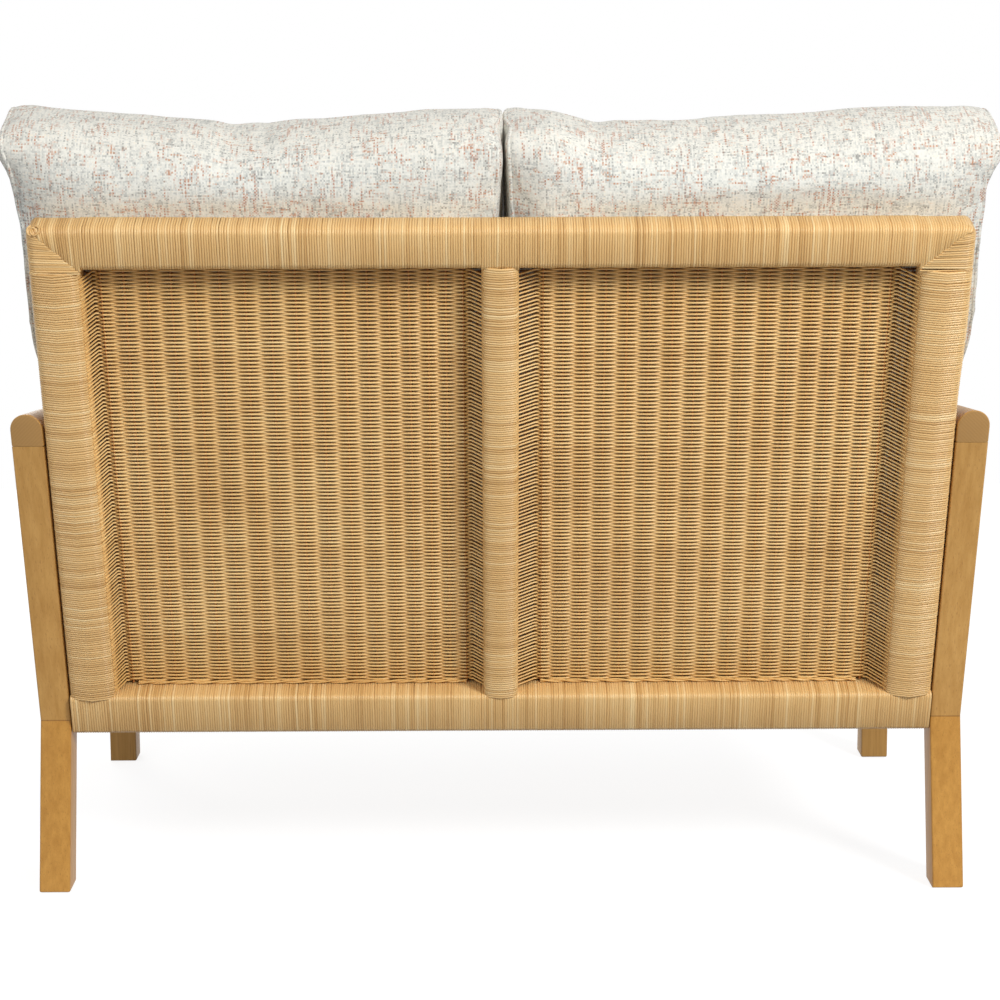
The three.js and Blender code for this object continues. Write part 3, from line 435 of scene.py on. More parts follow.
def strand_tree():
    """Geometry Nodes: repeats the base path along X, gives each strand its own tilt, girth and tone,
    lets the strands wander a little, and gives the paths their round section."""
    tree = bpy.data.node_groups.new("strand_rows", "GeometryNodeTree")
    face = tree.interface
    face.new_socket("Geometry", in_out="INPUT", socket_type="NodeSocketGeometry")
    for name, kind, default in (
        ("Count", "Int", 1),
        ("Pitch", "Float", 0.003),
        ("Radius", "Float", 0.0015),
        ("Sides", "Int", 5),
        ("Girth Spread", "Float", 0.08),
        ("Tilt", "Float", 0.005),
        ("Wander", "Float", 0.001),
        ("Wander Frequency", "Vector", (80, 12, 12)),
        ("Seed", "Int", 1),
        ("Finish", "Material", None),
    ):
        made = face.new_socket(name, in_out="INPUT", socket_type="NodeSocket" + kind)
        if default is not None:
            made.default_value = default
    face.new_socket("Geometry", in_out="OUTPUT", socket_type="NodeSocketGeometry")

    given = add(tree, "NodeGroupInput").outputs
    path = add(tree, "GeometryNodeMeshToCurve", {"Mesh": given["Geometry"]})
    step = add(tree, "CombineXYZ", {"X": given["Pitch"]})
    row = add(tree, "GeometryNodeMeshLine", {"Count": given["Count"], "Offset": step})
    least = add(tree, "Math", {0: given["Tilt"], 1: -1.0}, operation="MULTIPLY")
    low = add(tree, "CombineXYZ", {"Y": least, "Z": least})
    high = add(tree, "CombineXYZ", {"Y": given["Tilt"], "Z": given["Tilt"]})
    tilts = add(tree, "FunctionNodeRandomValue", {0: low, 1: high, "Seed": given["Seed"]},
                data_type="FLOAT_VECTOR")
    copies = add(tree, "GeometryNodeInstanceOnPoints", {"Points": row, "Instance": path, "Rotation": tilts})
    lines = add(tree, "GeometryNodeRealizeInstances", {0: copies})
    other_seed = add(tree, "Math", {0: given["Seed"], 1: 71.0}, operation="ADD")
    for name, lowest, seed in (("tone", 0.0, given["Seed"]), ("girth", -1.0, other_seed)):
        drawn = add(tree, "FunctionNodeRandomValue", {2: lowest, 3: 1.0, "Seed": seed}, data_type="FLOAT")
        lines = add(tree, "GeometryNodeStoreNamedAttribute",
                    {"Geometry": lines, "Name": name, "Value": drawn.outputs[1]},
                    data_type="FLOAT", domain="CURVE")
    girth = add(tree, "GeometryNodeInputNamedAttribute", {"Name": "girth"}, data_type="FLOAT")
    scale = add(tree, "Math", {0: girth, 1: given["Girth Spread"], 2: 1.0}, operation="MULTIPLY_ADD")
    thick = add(tree, "GeometryNodeSetCurveRadius", {"Curve": lines, "Radius": scale})
    place = add(tree, "GeometryNodeInputPosition")
    sampled = add(tree, "VectorMath", {0: place, 1: given["Wander Frequency"]}, operation="MULTIPLY")
    wavy = add(tree, "TexNoise", {"Vector": sampled, "W": given["Seed"], "Scale": 1.0},
               noise_dimensions="4D")
    centred = add(tree, "Math", {0: wavy, 1: 0.5}, operation="SUBTRACT")
    drift = add(tree, "Math", {0: centred, 1: given["Wander"]}, operation="MULTIPLY")
    offset = add(tree, "CombineXYZ", {"X": drift})
    moved = add(tree, "GeometryNodeSetPosition", {"Geometry": thick, "Offset": offset})
    section = add(tree, "GeometryNodeCurvePrimitiveCircle",
                  {"Resolution": given["Sides"], "Radius": given["Radius"]})
    solid = add(tree, "GeometryNodeCurveToMesh",
                {"Curve": moved, "Profile Curve": section, "Fill Caps": True})
    smooth = add(tree, "GeometryNodeSetShadeSmooth", {"Geometry": solid})
    whole = add(tree, "GeometryNodeRealizeInstances", {0: smooth})
    dyed = add(tree, "GeometryNodeSetMaterial", {"Geometry": whole, "Material": given["Finish"]})
    add(tree, "NodeGroupOutput", {"Geometry": dyed})
    return tree


STRAND_TREE = strand_tree()


def strands(paths, looped, place, finish, seed, **sizes):
    """An object of rattan strands. The paths are lists of points in the strands' own axes, in which
    they repeat along X, and place puts these axes into the sofa."""
    points, edges = [], []
    for path in paths:
        first = len(points)
        points += path
        edges += [(first + i, first + i + 1) for i in range(len(path) - 1)]
        if looped:
            edges.append((len(points) - 1, first))
    source = make_object("path", mesh_of("path", points, edges=edges))
    grow = source.modifiers.new("strands", "NODES")
    grow.node_group = STRAND_TREE
    values = {name.replace("_", " ").title(): value for name, value in sizes.items()}
    values.update({"Seed": seed, "Finish": finish})
    for socket in STRAND_TREE.interface.items_tree:
        if socket.in_out == "INPUT" and socket.name in values:
            grow[socket.identifier] = values[socket.name]
    mesh = modified(source)
    bpy.data.objects.remove(source)
    mesh.transform(place)
    return make_object("strands", mesh)


def hoop(start, end, low, high, round_start, round_end, crown=0.0, steps=2, spans=2):
    """A closed path round a member, from one point across it to another and from depth low to high.
    The corners at each end are rounded by their own radius, and the rear face may have a crown."""
    start, end = Vector(start), Vector(end)
    length = (end - start).length
    across = (end - start).normalized()
    middle, half = (low + high) / 2, (high - low) / 2

    def corner(centre_along, centre_deep, radius, first):
        turn = [first + math.pi / 2 * i / steps for i in range(steps + 1)]
        return [(centre_along + radius * math.cos(a), centre_deep + radius * math.sin(a)) for a in turn]

    r0, r1 = [min(r, length * 0.49, half * 0.98) for r in (round_start, round_end)]
    flat = corner(length - r1, middle + half - r1, r1, 0)
    flat += [(length - r1 + (r0 + r1 - length) * i / spans, middle + half + crown) for i in range(1, spans)]
    flat += corner(r0, middle + half - r0, r0, math.pi / 2)
    flat += corner(r0, middle - half + r0, r0, math.pi)
    flat += [(r0 + (length - r0 - r1) * i / spans, middle - half) for i in range(1, spans)]
    flat += corner(length - r1, middle - half + r1, r1, 1.5 * math.pi)
    return [start + across * along + Vector((0, depth, 0)) for along, depth in flat]


# The strands' own axes: X runs along a rail or up a stile, Y is the back's depth.
ALONG_RAIL = BACK
UP_STILE = BACK @ Matrix(((0, 0, -1, 0), (0, 1, 0, 0), (1, 0, 0, 0), (0, 0, 0, 1)))
STRAND = 0.0018
STRAND_PITCH = 0.00302
WRAP = dict(radius=STRAND, tilt=0.005, wander=0.0020, wander_frequency=(60, 14, 14))
SINGLE = dict(WRAP, count=1, wander=0.0006, tilt=0.0)
STILL = dict(count=1, wander=0.0, tilt=0.0)
OUT = STRAND  # a strand's centre line lies this far inside the wound member's face
CORNER_ROUND = 0.012  # the back's upper corners, seen from behind
CORNER_START = 0.0136  # how far from the outer edge their bend starts


def run_of_hoops(low_across, high_across, start, end, place, finish, seed, depth=BACK_DEPTH, crown=0.0,
                 corner=WRAP_ROUND, far_corner=None, **extra):
    """Hoops side by side along a member, from one place on it to another."""
    count = max(1, round((end - start) / STRAND_PITCH))
    across = high_across - low_across
    out = extra.get("radius", STRAND)
    path = hoop((0, 0, out), (0, 0, across - out), -depth + out, -out, corner, far_corner or corner, crown)
    shift = Matrix.Translation((start + (end - start) / count / 2, 0, low_across))
    sizes = {**WRAP, **extra, "count": count, "pitch": (end - start) / count}
    return strands([path], True, place @ shift, finish, seed, **sizes)


def outer_edge(share):
    """The rounded outer corner of the back frame as seen from behind, for the right side: from share 0,
    where the top rail's edge starts to bend, to 1, where the stile's edge is straight again."""
    angle = share * math.pi / 2
    x = BACK_HALF - OUT - CORNER_ROUND + CORNER_ROUND * math.sin(angle)
    z = BACK_HEIGHT - OUT - CORNER_ROUND + CORNER_ROUND * math.cos(angle)
    return Vector((x, 0, z))


def mitre_hoops(side, of_rail, rng):
    """The shortening hoops at an upper corner, whose inner ends lie on the mitre. Near the corner they
    fan out to the rounded edge."""
    jitter, lifting, foot_round = 0.0007, 0.0003, 0.0028
    inner = Vector((BACK_HALF - STILE, 0, BACK_HEIGHT - TOP_RAIL - FULLER))
    corner = Vector((BACK_HALF - 0.009, 0, BACK_HEIGHT - 0.008))
    count = round((STILE if of_rail else TOP_RAIL) / STRAND_PITCH)
    straight = (STILE if of_rail else TOP_RAIL + FULLER) - CORNER_START
    arc = math.pi / 4 * CORNER_ROUND
    paths = []
    for i in range(count):
        share = (i + 0.5) / count
        foot = inner.lerp(corner, share)
        foot += Vector((0, 0, -0.0008)) if of_rail else Vector((-0.0012, 0, 0))
        foot += Vector((rng.uniform(-1, 1), 0, rng.uniform(-1, 1))) * jitter
        along = share * (straight + arc)
        if along > straight:
            bend = 0.5 * (along - straight) / arc
            head = outer_edge(bend if of_rail else 1 - bend)
        elif of_rail:
            head = Vector((inner.x + along, 0, BACK_HEIGHT - OUT))
        else:
            head = Vector((BACK_HALF - OUT, 0, inner.z + along))
        lift = rng.uniform(-lifting, lifting)
        path = hoop(foot, head, -BACK_DEPTH + OUT, -OUT + lift, foot_round, WRAP_ROUND)
        paths.append([Vector((side * p.x, p.y, p.z)) for p in path])
    return paths


def knot(rng):
    """Short strand ends that turn round each other where the winding of an upper corner was tied off."""
    centre = Vector((BACK_HALF - 0.0115, -0.0028, BACK_HEIGHT - 0.0040))
    smallest, wider, scatter, steps = 0.0022, 0.0009, 0.0016, 8
    paths = []
    for i in range(7):
        radius = smallest + wider * i
        start, sweep = rng.uniform(0, 2 * math.pi), rng.uniform(1.6, 3.4)
        shift = Vector((rng.uniform(-1, 1), 0, rng.uniform(-1, 1))) * scatter
        path = []
        for step in range(steps + 1):
            share = step / steps
            angle = start + sweep * share
            rise = 0.7 * (0.0016 * math.sin(math.pi * share) - 0.0012)
            slant = 0.7 * radius * math.sin(angle)
            path.append(centre + shift + Vector((radius * math.cos(angle), rise - slant, rise + slant)))
        paths.append(path)
    return paths


def loose_ends(side, under):
    """Strand ends that lie across the stile below an upper corner, in the gap under the mitre."""
    first, steps = 0.0016, 10
    paths = []
    for rise, sag, share in ((-0.0006, 0.0010, 1.0), (-0.0024, 0.0014, 0.85)):
        path = []
        for step in range(steps + 1):
            at = step / steps
            reach = first + (STILE - first) * share * at
            sunk = WRAP_ROUND - math.sqrt(WRAP_ROUND**2 - max(0.0, WRAP_ROUND - reach) ** 2)
            height = under + rise - sag * math.sin(math.pi * at) - 0.0012 * at
            path.append(Vector((side * (BACK_HALF - reach), -OUT - 0.0001 - sunk, height)))
        paths.append(path)
    return paths


def proud(piece):
    """The winding's outer sides stand a little proud of the frame, most at the top of its left side,
    where the winding is thickest, and the top rail's winding rises a little to its right end."""
    everywhere, upper_left, rising = 0.0016, 0.0032, 0.0022
    home = BACK.inverted()
    for vertex in piece.data.vertices:
        at = home @ vertex.co
        share = max(0.0, (abs(at.x) - BACK_HALF + STILE) / STILE)
        reach = everywhere + (upper_left if at.x < 0 else 0.0) * eased_share((at.z - 0.47) / 0.12)
        at.x += math.copysign(reach * share * share, at.x)
        at.z += rising * eased_share((at.x - 0.1) / 0.45) * eased_share((at.z - BACK_HEIGHT + 0.045) / 0.04)
        vertex.co = BACK @ at
    return piece


def add_back_windings(finish):
    rng = random.Random(4)
    inner, half = BACK_HALF - STILE, CENTRE_STILE / 2
    under, top, foot = BACK_HEIGHT - TOP_RAIL, BACK_HEIGHT + 0.0008, BOTTOM_RAIL - 0.004
    full = under - FULLER

    def lone(paths, looped, seed, radius):
        """Strands that are laid one by one."""
        return strands(paths, looped, BACK, finish, seed, **dict(SINGLE, radius=radius))

    def winding(word, parts, shape=proud):
        dress(shape(joined(f"winding_{word}", parts)), "frame", [f"wrap_{word}"])

    parts = [
        run_of_hoops(full, top, -inner, -half, ALONG_RAIL, finish, 11),
        run_of_hoops(under - 0.0055, top, -half, half, ALONG_RAIL, finish, 15),
        run_of_hoops(full, top, half, inner, ALONG_RAIL, finish, 16),
        lone(knot(rng), False, 17, 0.0013),
    ]
    parts += [lone(mitre_hoops(side, True, rng), True, 12 + side, 0.0017) for side in (-1, 1)]
    winding("top_rail", parts)

    winding("bottom_rail", [run_of_hoops(0, BOTTOM_RAIL, -BACK_HALF, BACK_HALF, ALONG_RAIL, finish, 21,
                                         corner=0.0050, radius=0.0021, tilt=0.007, wander=0.0022)])

    for side, word in ((-1, "left"), (1, "right")):
        low, high = sorted((-side * BACK_HALF, -side * inner))
        corner, far_corner = (WRAP_ROUND, STILE_ROUND) if side > 0 else (STILE_ROUND, WRAP_ROUND)
        winding(f"stile_{word}", [
            run_of_hoops(low, high, foot, full - 0.0028, UP_STILE, finish, 30 + side, crown=0.0042,
                         corner=corner, far_corner=far_corner,
                         radius=0.0019, tilt=0.009, wander=0.0030, wander_frequency=(55, 12, 14)),
            lone(mitre_hoops(side, False, rng), True, 40 + side, 0.0018),
            lone(loose_ends(side, full), False, 44 + side, 0.0011),
        ])

    winding("centre_stile", [run_of_hoops(-half, half, foot, under + 0.001, UP_STILE, finish, 50,
                                          crown=0.0022, tilt=0.008, wander=0.0026)], shape=lambda p: p)


def add_front_winding(finish):
    """The wound front rail of the seat."""
    front, rear, height = FRONT_RAIL
    place = SEAT @ Matrix.Translation((0, rear, -height))
    parts = [run_of_hoops(0, height, -FRONT_RAIL_HALF, FRONT_RAIL_HALF, place, finish, 61,
                          depth=rear - front)]
    dress(joined("winding_front_rail", parts), "frame", ["wrap_front_rail"])


# Woven panels: stakes stand closer together towards the sides. Each panel has the distances of its first
# and last stakes from the middle of the sofa, and how far its middle stake drifts towards there.
PANELS = {-1: ("left", 0.0519, 0.4691, -0.0059), 1: ("right", 0.0445, 0.4791, 0.0158)}
STAKES = 17
STAKE_CROWDING = 0.105
STAKE_RADIUS = 0.0016
WEAVER_RADIUS = 0.0014
WEAVER_PITCH = 0.0025
WEAVE_DEPTH = -0.036
WEAVE_SWING = 0.0029
WEAVE_LIFT = 0.0014
PANEL_LOW = BOTTOM_RAIL + 0.003
PANEL_HIGH = BACK_HEIGHT - TOP_RAIL - FULLER - 0.0012
WEAVE_ROWS = int((PANEL_HIGH - PANEL_LOW) / (2 * WEAVER_PITCH))
WEAVER = dict(radius=WEAVER_RADIUS, wander=0.0007, wander_frequency=(70, 10, 22), tilt=0.0005,
              girth_spread=0.05, pitch=2 * WEAVER_PITCH)
STEPS = 4  # steps from stake to stake
BORDER_SWING, BORDER_DEPTH = 0.0014, 0.0012  # how far a border strand swings up and down, and in depth


def stake_places(side):
    _, first, last, drift = PANELS[side]
    middle, half = (first + last) / 2, (last - first) / 2
    turns = [-1 + 2 * i / (STAKES - 1) for i in range(STAKES)]
    return [middle + half * (t + STAKE_CROWDING * math.sin(math.pi * t) / math.pi) - drift * (1 - t * t)
            for t in turns]


def between_stakes(side):
    """The steps across a panel: each one's gap between stakes, its share of that gap, and its x."""
    places = stake_places(side)
    return [(i, step / STEPS, near + (far - near) * step / STEPS)
            for i, (near, far) in enumerate(zip(places, places[1:])) for step in range(STEPS)]


def weaver_path(side, start):
    """A weaver between a panel's outer stakes, which starts behind the first one or in front of it. It
    passes each stake on the other face than the one before, and lies lower in front than behind."""
    path = [(x, start * (-1) ** i * math.cos(math.pi * share)) for i, share, x in between_stakes(side)]
    path.append((stake_places(side)[-1], start * (-1) ** (STAKES - 1)))
    return [Vector((WEAVE_LIFT * swing, WEAVE_DEPTH + WEAVE_SWING * swing, -side * x)) for x, swing in path]


def border_path(side, turn):
    """One of the two strands that are twined round the stakes along a panel's lower edge."""
    path = []
    for i, share, x in between_stakes(side):
        angle = math.pi * (i + share) + turn
        rise = PANEL_LOW - 0.0004 + BORDER_SWING * math.cos(angle)
        depth = WEAVE_DEPTH + WEAVE_SWING + 0.0006 + BORDER_DEPTH * math.sin(angle)
        path.append(Vector((rise, depth, -side * x)))
    return path


def row_place(parity, x=0):
    """Where the first of every second row of weavers lies."""
    return UP_STILE @ Matrix.Translation((PANEL_LOW + WEAVER_PITCH * (0.5 + parity), 0, -x))


def add_weave(finish, stake_finish):
    for side, (word, *_) in PANELS.items():
        parts = [strands([weaver_path(side, 2 * parity - 1)], False, row_place(parity), finish,
                         70 + side + 2 * parity, count=WEAVE_ROWS, **WEAVER) for parity in (0, 1)]
        border = [border_path(side, turn) for turn in (0, math.pi)]
        parts.append(strands(border, False, UP_STILE, finish, 78 + side, radius=WEAVER_RADIUS, **STILL))
        dress(joined(f"weavers_{word}", parts), "frame", [f"woven_panel_{word}"])
        poles = [[Vector((side * x, WEAVE_DEPTH, z)) for z in (PANEL_LOW - 0.002, PANEL_HIGH)]
                 for x in stake_places(side)]
        stakes = strands(poles, False, BACK, stake_finish, 80 + side, radius=STAKE_RADIUS, **STILL)
        dress(joined(f"stakes_{word}", [stakes]), "frame")


def side_strand(edge, stake, inward, meeting, rear):
    """A weaver's end beyond a panel's outermost stake. One that passed that stake on the cushion's side
    comes to the rear, bends, and runs to the stile's inner face, which it meets at a given depth. The
    other one goes the opposite way. Inward is the sign of x from the stile to the stake."""
    turn = 1 if rear else -1
    steps = [(0.0, -1), (0.0022, -0.7), (0.0045, 0.0), (0.0068, 0.75), (0.0088, 1.0)]
    path = [(stake - inward * x, WEAVE_DEPTH + WEAVE_SWING * turn * swing, WEAVE_LIFT * turn * swing)
            for x, swing in steps]
    path.append((edge - inward * 0.003, meeting if rear else -BACK_DEPTH + 0.005, 0.0))
    return [Vector((lift, depth, stake - x)) for x, depth, lift in path]


def add_side_strands(finish):
    """At the sides of each panel the weavers part and run to the stile's rear and front, with a dark
    hollow between them."""
    sizes = {**WEAVER, "radius": 0.00125, "tilt": 0.012, "girth_spread": 0.12, "count": WEAVE_ROWS - 1}
    for side, (word, *_) in PANELS.items():
        places = stake_places(side)
        parts = []
        for edge, stake, inward, meeting in ((BACK_HALF - STILE, places[-1], -side, -0.0075),
                                             (CENTRE_STILE / 2, places[0], side, -0.0185)):
            for parity in (0, 1):
                path = side_strand(side * edge, side * stake, inward, meeting, parity == 0)
                parts.append(strands([path], False, row_place(parity, side * stake), finish,
                                     90 + side + 3 * parity, **sizes))
        dress(joined(f"side_strands_{word}", parts), "frame")


# ---- timber and cores --------------------------------------------------------------------------


def eased(node, finish, ease=0.0022):
    """The timber piece of a node with its long edges and end rims eased."""
    mesh, made = opened(node)
    bmesh.ops.dissolve_limit(made, angle_limit=math.radians(0.5), verts=made.verts, edges=made.edges)
    made.normal_update()

    def plane(face):
        normal = face.normal
        return (*(round(c, 2) for c in normal), round(normal.dot(face.calc_center_median()), 3))

    areas = {}
    for face in made.faces:
        areas[plane(face)] = areas.get(plane(face), 0) + face.calc_area()
    top = max(v.co.z for v in made.verts)
    smallest_face, smallest_crease, joint_depth = 0.0009, 0.003, 0.026

    def hidden(edge):
        """Whether the edge lies in the joint between a leg and its armrest."""
        heights = [v.co.z for v in edge.verts]
        if node.startswith(("rear_leg", "front_leg")):
            return min(heights) > top - joint_depth
        return node.startswith("armrest") and edge.calc_length() < 0.06 and max(heights) < top - 0.03

    rims = [e for e in made.edges
            if len(e.link_faces) == 2 and e.is_convex and e.calc_face_angle() > math.radians(45)
            and all(areas[plane(f)] > smallest_face for f in e.link_faces) and not hidden(e)]
    bmesh.ops.bevel(made, geom=rims, offset=ease, segments=3, profile=0.5, affect="EDGES", clamp_overlap=True)
    made.normal_update()
    creases = [len(e.link_faces) == 2 and e.calc_face_angle() > math.radians(12)
               and min(f.calc_area() for f in e.link_faces) > smallest_crease for e in made.edges]
    closed(mesh, made)
    painted(mesh, finish)
    piece = make_object(f"{node}_timber", mesh)
    mesh.shade_smooth()
    mesh.set_sharp_from_angle(angle=math.radians(31))
    for edge, crease in zip(mesh.edges, creases):
        edge.use_edge_sharp |= crease
    return dress(piece, "frame", [node])


def add_timber():
    leg = timber("lacquered_hardwood_leg", (0, math.sin(LEAN / 2), math.cos(LEAN / 2)), KNEE)
    upright = timber("lacquered_hardwood_upright", (0, 0, 1))
    lengthwise = timber("lacquered_hardwood_lengthwise", (0, 1, 0.03))
    crosswise = timber("lacquered_hardwood_crosswise", (1, 0, 0.001))
    for word in ("left", "right"):
        eased(f"rear_leg_{word}", leg)
        eased(f"front_leg_{word}", upright)
        eased(f"armrest_{word}", lengthwise)
        eased(f"side_rail_{word}", lengthwise, 0.0015)
        eased(f"ledger_{word}", lengthwise, 0.0012)
    eased("rear_seat_rail", crosswise, 0.0015)
    eased("centre_seat_rail", lengthwise, 0.0015)
    for i in range(1, 8):
        eased(f"slat_{i}", crosswise, 0.0025)


def add_upper_cores(finish):
    """The cores that meet at the upper corners, with the corner taken off under the rounded winding, and
    the stiles' inner rear edges too."""
    corner, inner_edge = (0.012, 0.007), 0.0128
    for node, stile in (("core_top_rail", 0), ("core_stile_left", -1), ("core_stile_right", 1)):
        mesh, made = opened(node, BACK.inverted())
        planes = [((side * (BACK_HALF - corner[0]), 0, BACK_HEIGHT - corner[1]), (side, 0, 1))
                  for side in (-1, 1)]
        if stile:
            planes.append(((stile * (BACK_HALF - STILE + inner_edge), 0, 0), (-stile, 1, 0)))
        for place, normal in planes:
            rim = sliced(made, place, normal, clear_outer=True)
            if rim:
                bmesh.ops.contextual_create(made, geom=rim)
        closed(mesh, made)
        mesh.transform(BACK)
        painted(mesh, finish)
        dress(make_object(f"{node}_trimmed", mesh), "frame", [node])


# ---- cushions ----------------------------------------------------------------------------------

VOXEL = 0.0075
SOFTENING = 10  # rounds of smoothing
INSET = 0.007  # how far the panels are drawn in between the seams
INSET_REACH = 0.03
HOLD = 0.010  # how near a seam the cloth is held
SWELL_LIMIT = 0.010
FILLING_FRAMES = 20
SEAM_SHARE = 0.982
SEAM_PITCH = 0.006
PIPING = 0.0031
PIPING_SUNK = 0.0010
PUCKER_REACH = 0.045
PUCKER = 0.0022
INNER_BULGE = 0.0085
MEETING = -0.0045  # where the two back cushions meet
CLEAR = 0.00025
SHOULDER = 0.011
CORNER_REACH = 0.010
CURL = 0.012
PUFF = 0.007
CREST_REACH = 0.12  # how far down from a back cushion's top its edge's own line is felt
INNER_REACH = 0.05  # how far from its inner side a cushion bulges towards its neighbour
STILE_LOW, STILE_HIGH = 0.445, 0.745  # the heights between which a back cushion spreads beside the stile
DIP, DIP_WIDTH = 0.0010, 0.007
# For the right and the left back cushion: how far the outer corner drops, how far down its shoulder
# starts, and how much wider the cushion is beside the stile
CORNERS = {1: (0.012, 0.125, 0.004), -1: (0.008, 0.105, 0.0085)}


def own_box(mesh):
    points = [v.co for v in mesh.vertices]
    return [Vector(pick(p[i] for p in points) for i in range(3)) for pick in (min, max)]


def drawn_in(node, axes):
    """A copy of the cushion's solid in its own axes, remeshed evenly, with softened edges. It is then
    stretched to the solid's own box, so that it is as large as the solid."""
    mesh, made = opened(node, axes.inverted())
    closed(mesh, made)
    mesh.materials.clear()
    box = own_box(mesh)
    piece = make_object(f"{node}_cover", mesh)
    even = piece.modifiers.new("even", "REMESH")
    even.mode = "VOXEL"
    even.voxel_size = VOXEL
    fine = modified(piece)
    made = bmesh.new()
    made.from_mesh(fine)
    for _ in range(SOFTENING):
        bmesh.ops.smooth_vert(made, verts=made.verts, factor=0.5, use_axis_x=False, use_axis_y=True,
                              use_axis_z=True)
    closed(fine, made)
    low, high = own_box(fine)
    for vertex in fine.vertices:
        for i in range(3):
            vertex.co[i] = box[0][i] + (vertex.co[i] - low[i]) / (high[i] - low[i]) * (box[1][i] - box[0][i])
    piece.data = fine
    return piece, box


def nearest_seam(seams):
    tree = KDTree(sum(len(path) for path in seams))
    for index, point in enumerate(p for path in seams for p in path):
        tree.insert(point, index)
    tree.balance()
    return tree


def pinned(piece, seams):
    """Draws the panels in between the seams, and holds the cloth at the seams, where piping stiffens it."""
    tree = nearest_seam(seams)
    hold = piece.vertex_groups.new(name="seams")
    normals = [v.normal.copy() for v in piece.data.vertices]
    for vertex, normal in zip(piece.data.vertices, normals):
        distance = tree.find(vertex.co)[2]
        share = min(1.0, distance / INSET_REACH)
        vertex.co -= normal * INSET * share * share * (3 - 2 * share)
        if distance < HOLD:
            hold.add([vertex.index], 1 - distance / HOLD, "REPLACE")


def blown_up(pieces):
    """Fills the covers by cloth simulation. No point moves further than the limit."""
    for piece in pieces:
        fill = piece.modifiers.new("fill", "CLOTH")
        cloth = fill.settings
        cloth.use_pressure = True
        cloth.uniform_pressure_force = 4
        cloth.effector_weights.gravity = 0
        cloth.quality = 4
        cloth.vertex_group_mass = "seams"
        cloth.tension_stiffness = cloth.compression_stiffness = 12
        cloth.shear_stiffness = 4
        cloth.bending_stiffness = 0.3
        fill.collision_settings.use_collision = False
        fill.point_cache.frame_start, fill.point_cache.frame_end = 1, FILLING_FRAMES
    for step in range(FILLING_FRAMES):
        scene.frame_set(step + 1)
    for piece in pieces:
        start = [v.co.copy() for v in piece.data.vertices]
        filled = modified(piece)
        for vertex, old in zip(filled.vertices, start):
            travel = vertex.co - old
            if travel.length > SWELL_LIMIT:
                vertex.co = old + travel.normalized() * SWELL_LIMIT
        piece.data = filled
    scene.frame_set(1)


def smoothed(path, times):
    for _ in range(times):
        path = [(path[i - 1] + path[i] * 2 + path[(i + 1) % len(path)]) / 4 for i in range(len(path))]
    return path


def evened(points, pitch):
    """A closed path with points at an even pitch, smoothed a little."""
    lengths = [(b - a).length for a, b in zip(points, points[1:] + points[:1])]
    total = sum(lengths)
    count = max(8, round(total / pitch))
    result, at, travelled = [], 0, 0.0
    for i in range(count):
        target = total * i / count
        while travelled + lengths[at] < target:
            travelled += lengths[at]
            at += 1
        share = (target - travelled) / lengths[at]
        result.append(points[at].lerp(points[(at + 1) % len(points)], share))
    return smoothed(result, 3)


def seam_paths(mesh, box, up):
    """The two closed seams where a cushion's side panels meet its main panel, as lists of points. Up
    is the axis along which the cushion is long."""
    slices = 24
    low, high = box[0][up], box[1][up]
    reach = [[math.inf, -math.inf] for _ in range(slices)]
    for vertex in mesh.vertices:
        at = min(slices - 1, max(0, int((vertex.co[up] - low) / (high - low) * slices)))
        reach[at][0] = min(reach[at][0], vertex.co.x)
        reach[at][1] = max(reach[at][1], vertex.co.x)
    for at in range(3):
        reach[at] = reach[3]
        reach[-1 - at] = reach[-4]

    def sides(place):
        at = min(slices - 1.001, max(0.0, (place - low) / (high - low) * slices - 0.5))
        first, share = int(at), at - int(at)
        return [reach[first][i] * (1 - share) + reach[first + 1][i] * share for i in (0, 1)]

    paths = []
    for side in (-1, 1):
        made = bmesh.new()
        made.from_mesh(mesh)
        for vertex in made.verts:
            near, far = sides(vertex.co[up])
            vertex.co.x = (vertex.co.x - (near + far) / 2) / (far - near) * 2
        edges = set(sliced(made, (side * SEAM_SHARE, 0, 0), (1, 0, 0)))
        vertex = min(edges, key=lambda e: e.index).verts[0]
        loop = []
        while edges:
            step = next((e for e in vertex.link_edges if e in edges), None)
            if step is None:
                break
            edges.discard(step)
            vertex = step.other_vert(vertex)
            loop.append(vertex.co.copy())
        made.free()
        points = []
        for p in loop:
            near, far = sides(p[up])
            points.append(Vector(((near + far) / 2 + p.x * (far - near) / 2, p.y, p.z)))
        paths.append(evened(points, SEAM_PITCH))
    return paths


def crest_lift(x):
    """How far a back cushion's top edge stands above its softened solid's: the panel swells up between
    its seams, the inner corner of the left cushion is pulled up, and each filling has a notch."""
    if x > 0:
        inner = hump(x, 0, 0.065, 0.008) + hump(x, 0, 0.022, 0.008)
        return 0.0145 - inner - hump(x, 0.295, 0.04, 0.006) - hump(x, 0.323, 0.018, 0.0045)
    rise = 0.0115 - 0.005 * eased_share((-x - 0.2) / 0.2)
    return rise + hump(x, -0.05, 0.045, 0.0125) - hump(x, -0.118, 0.016, 0.0045)


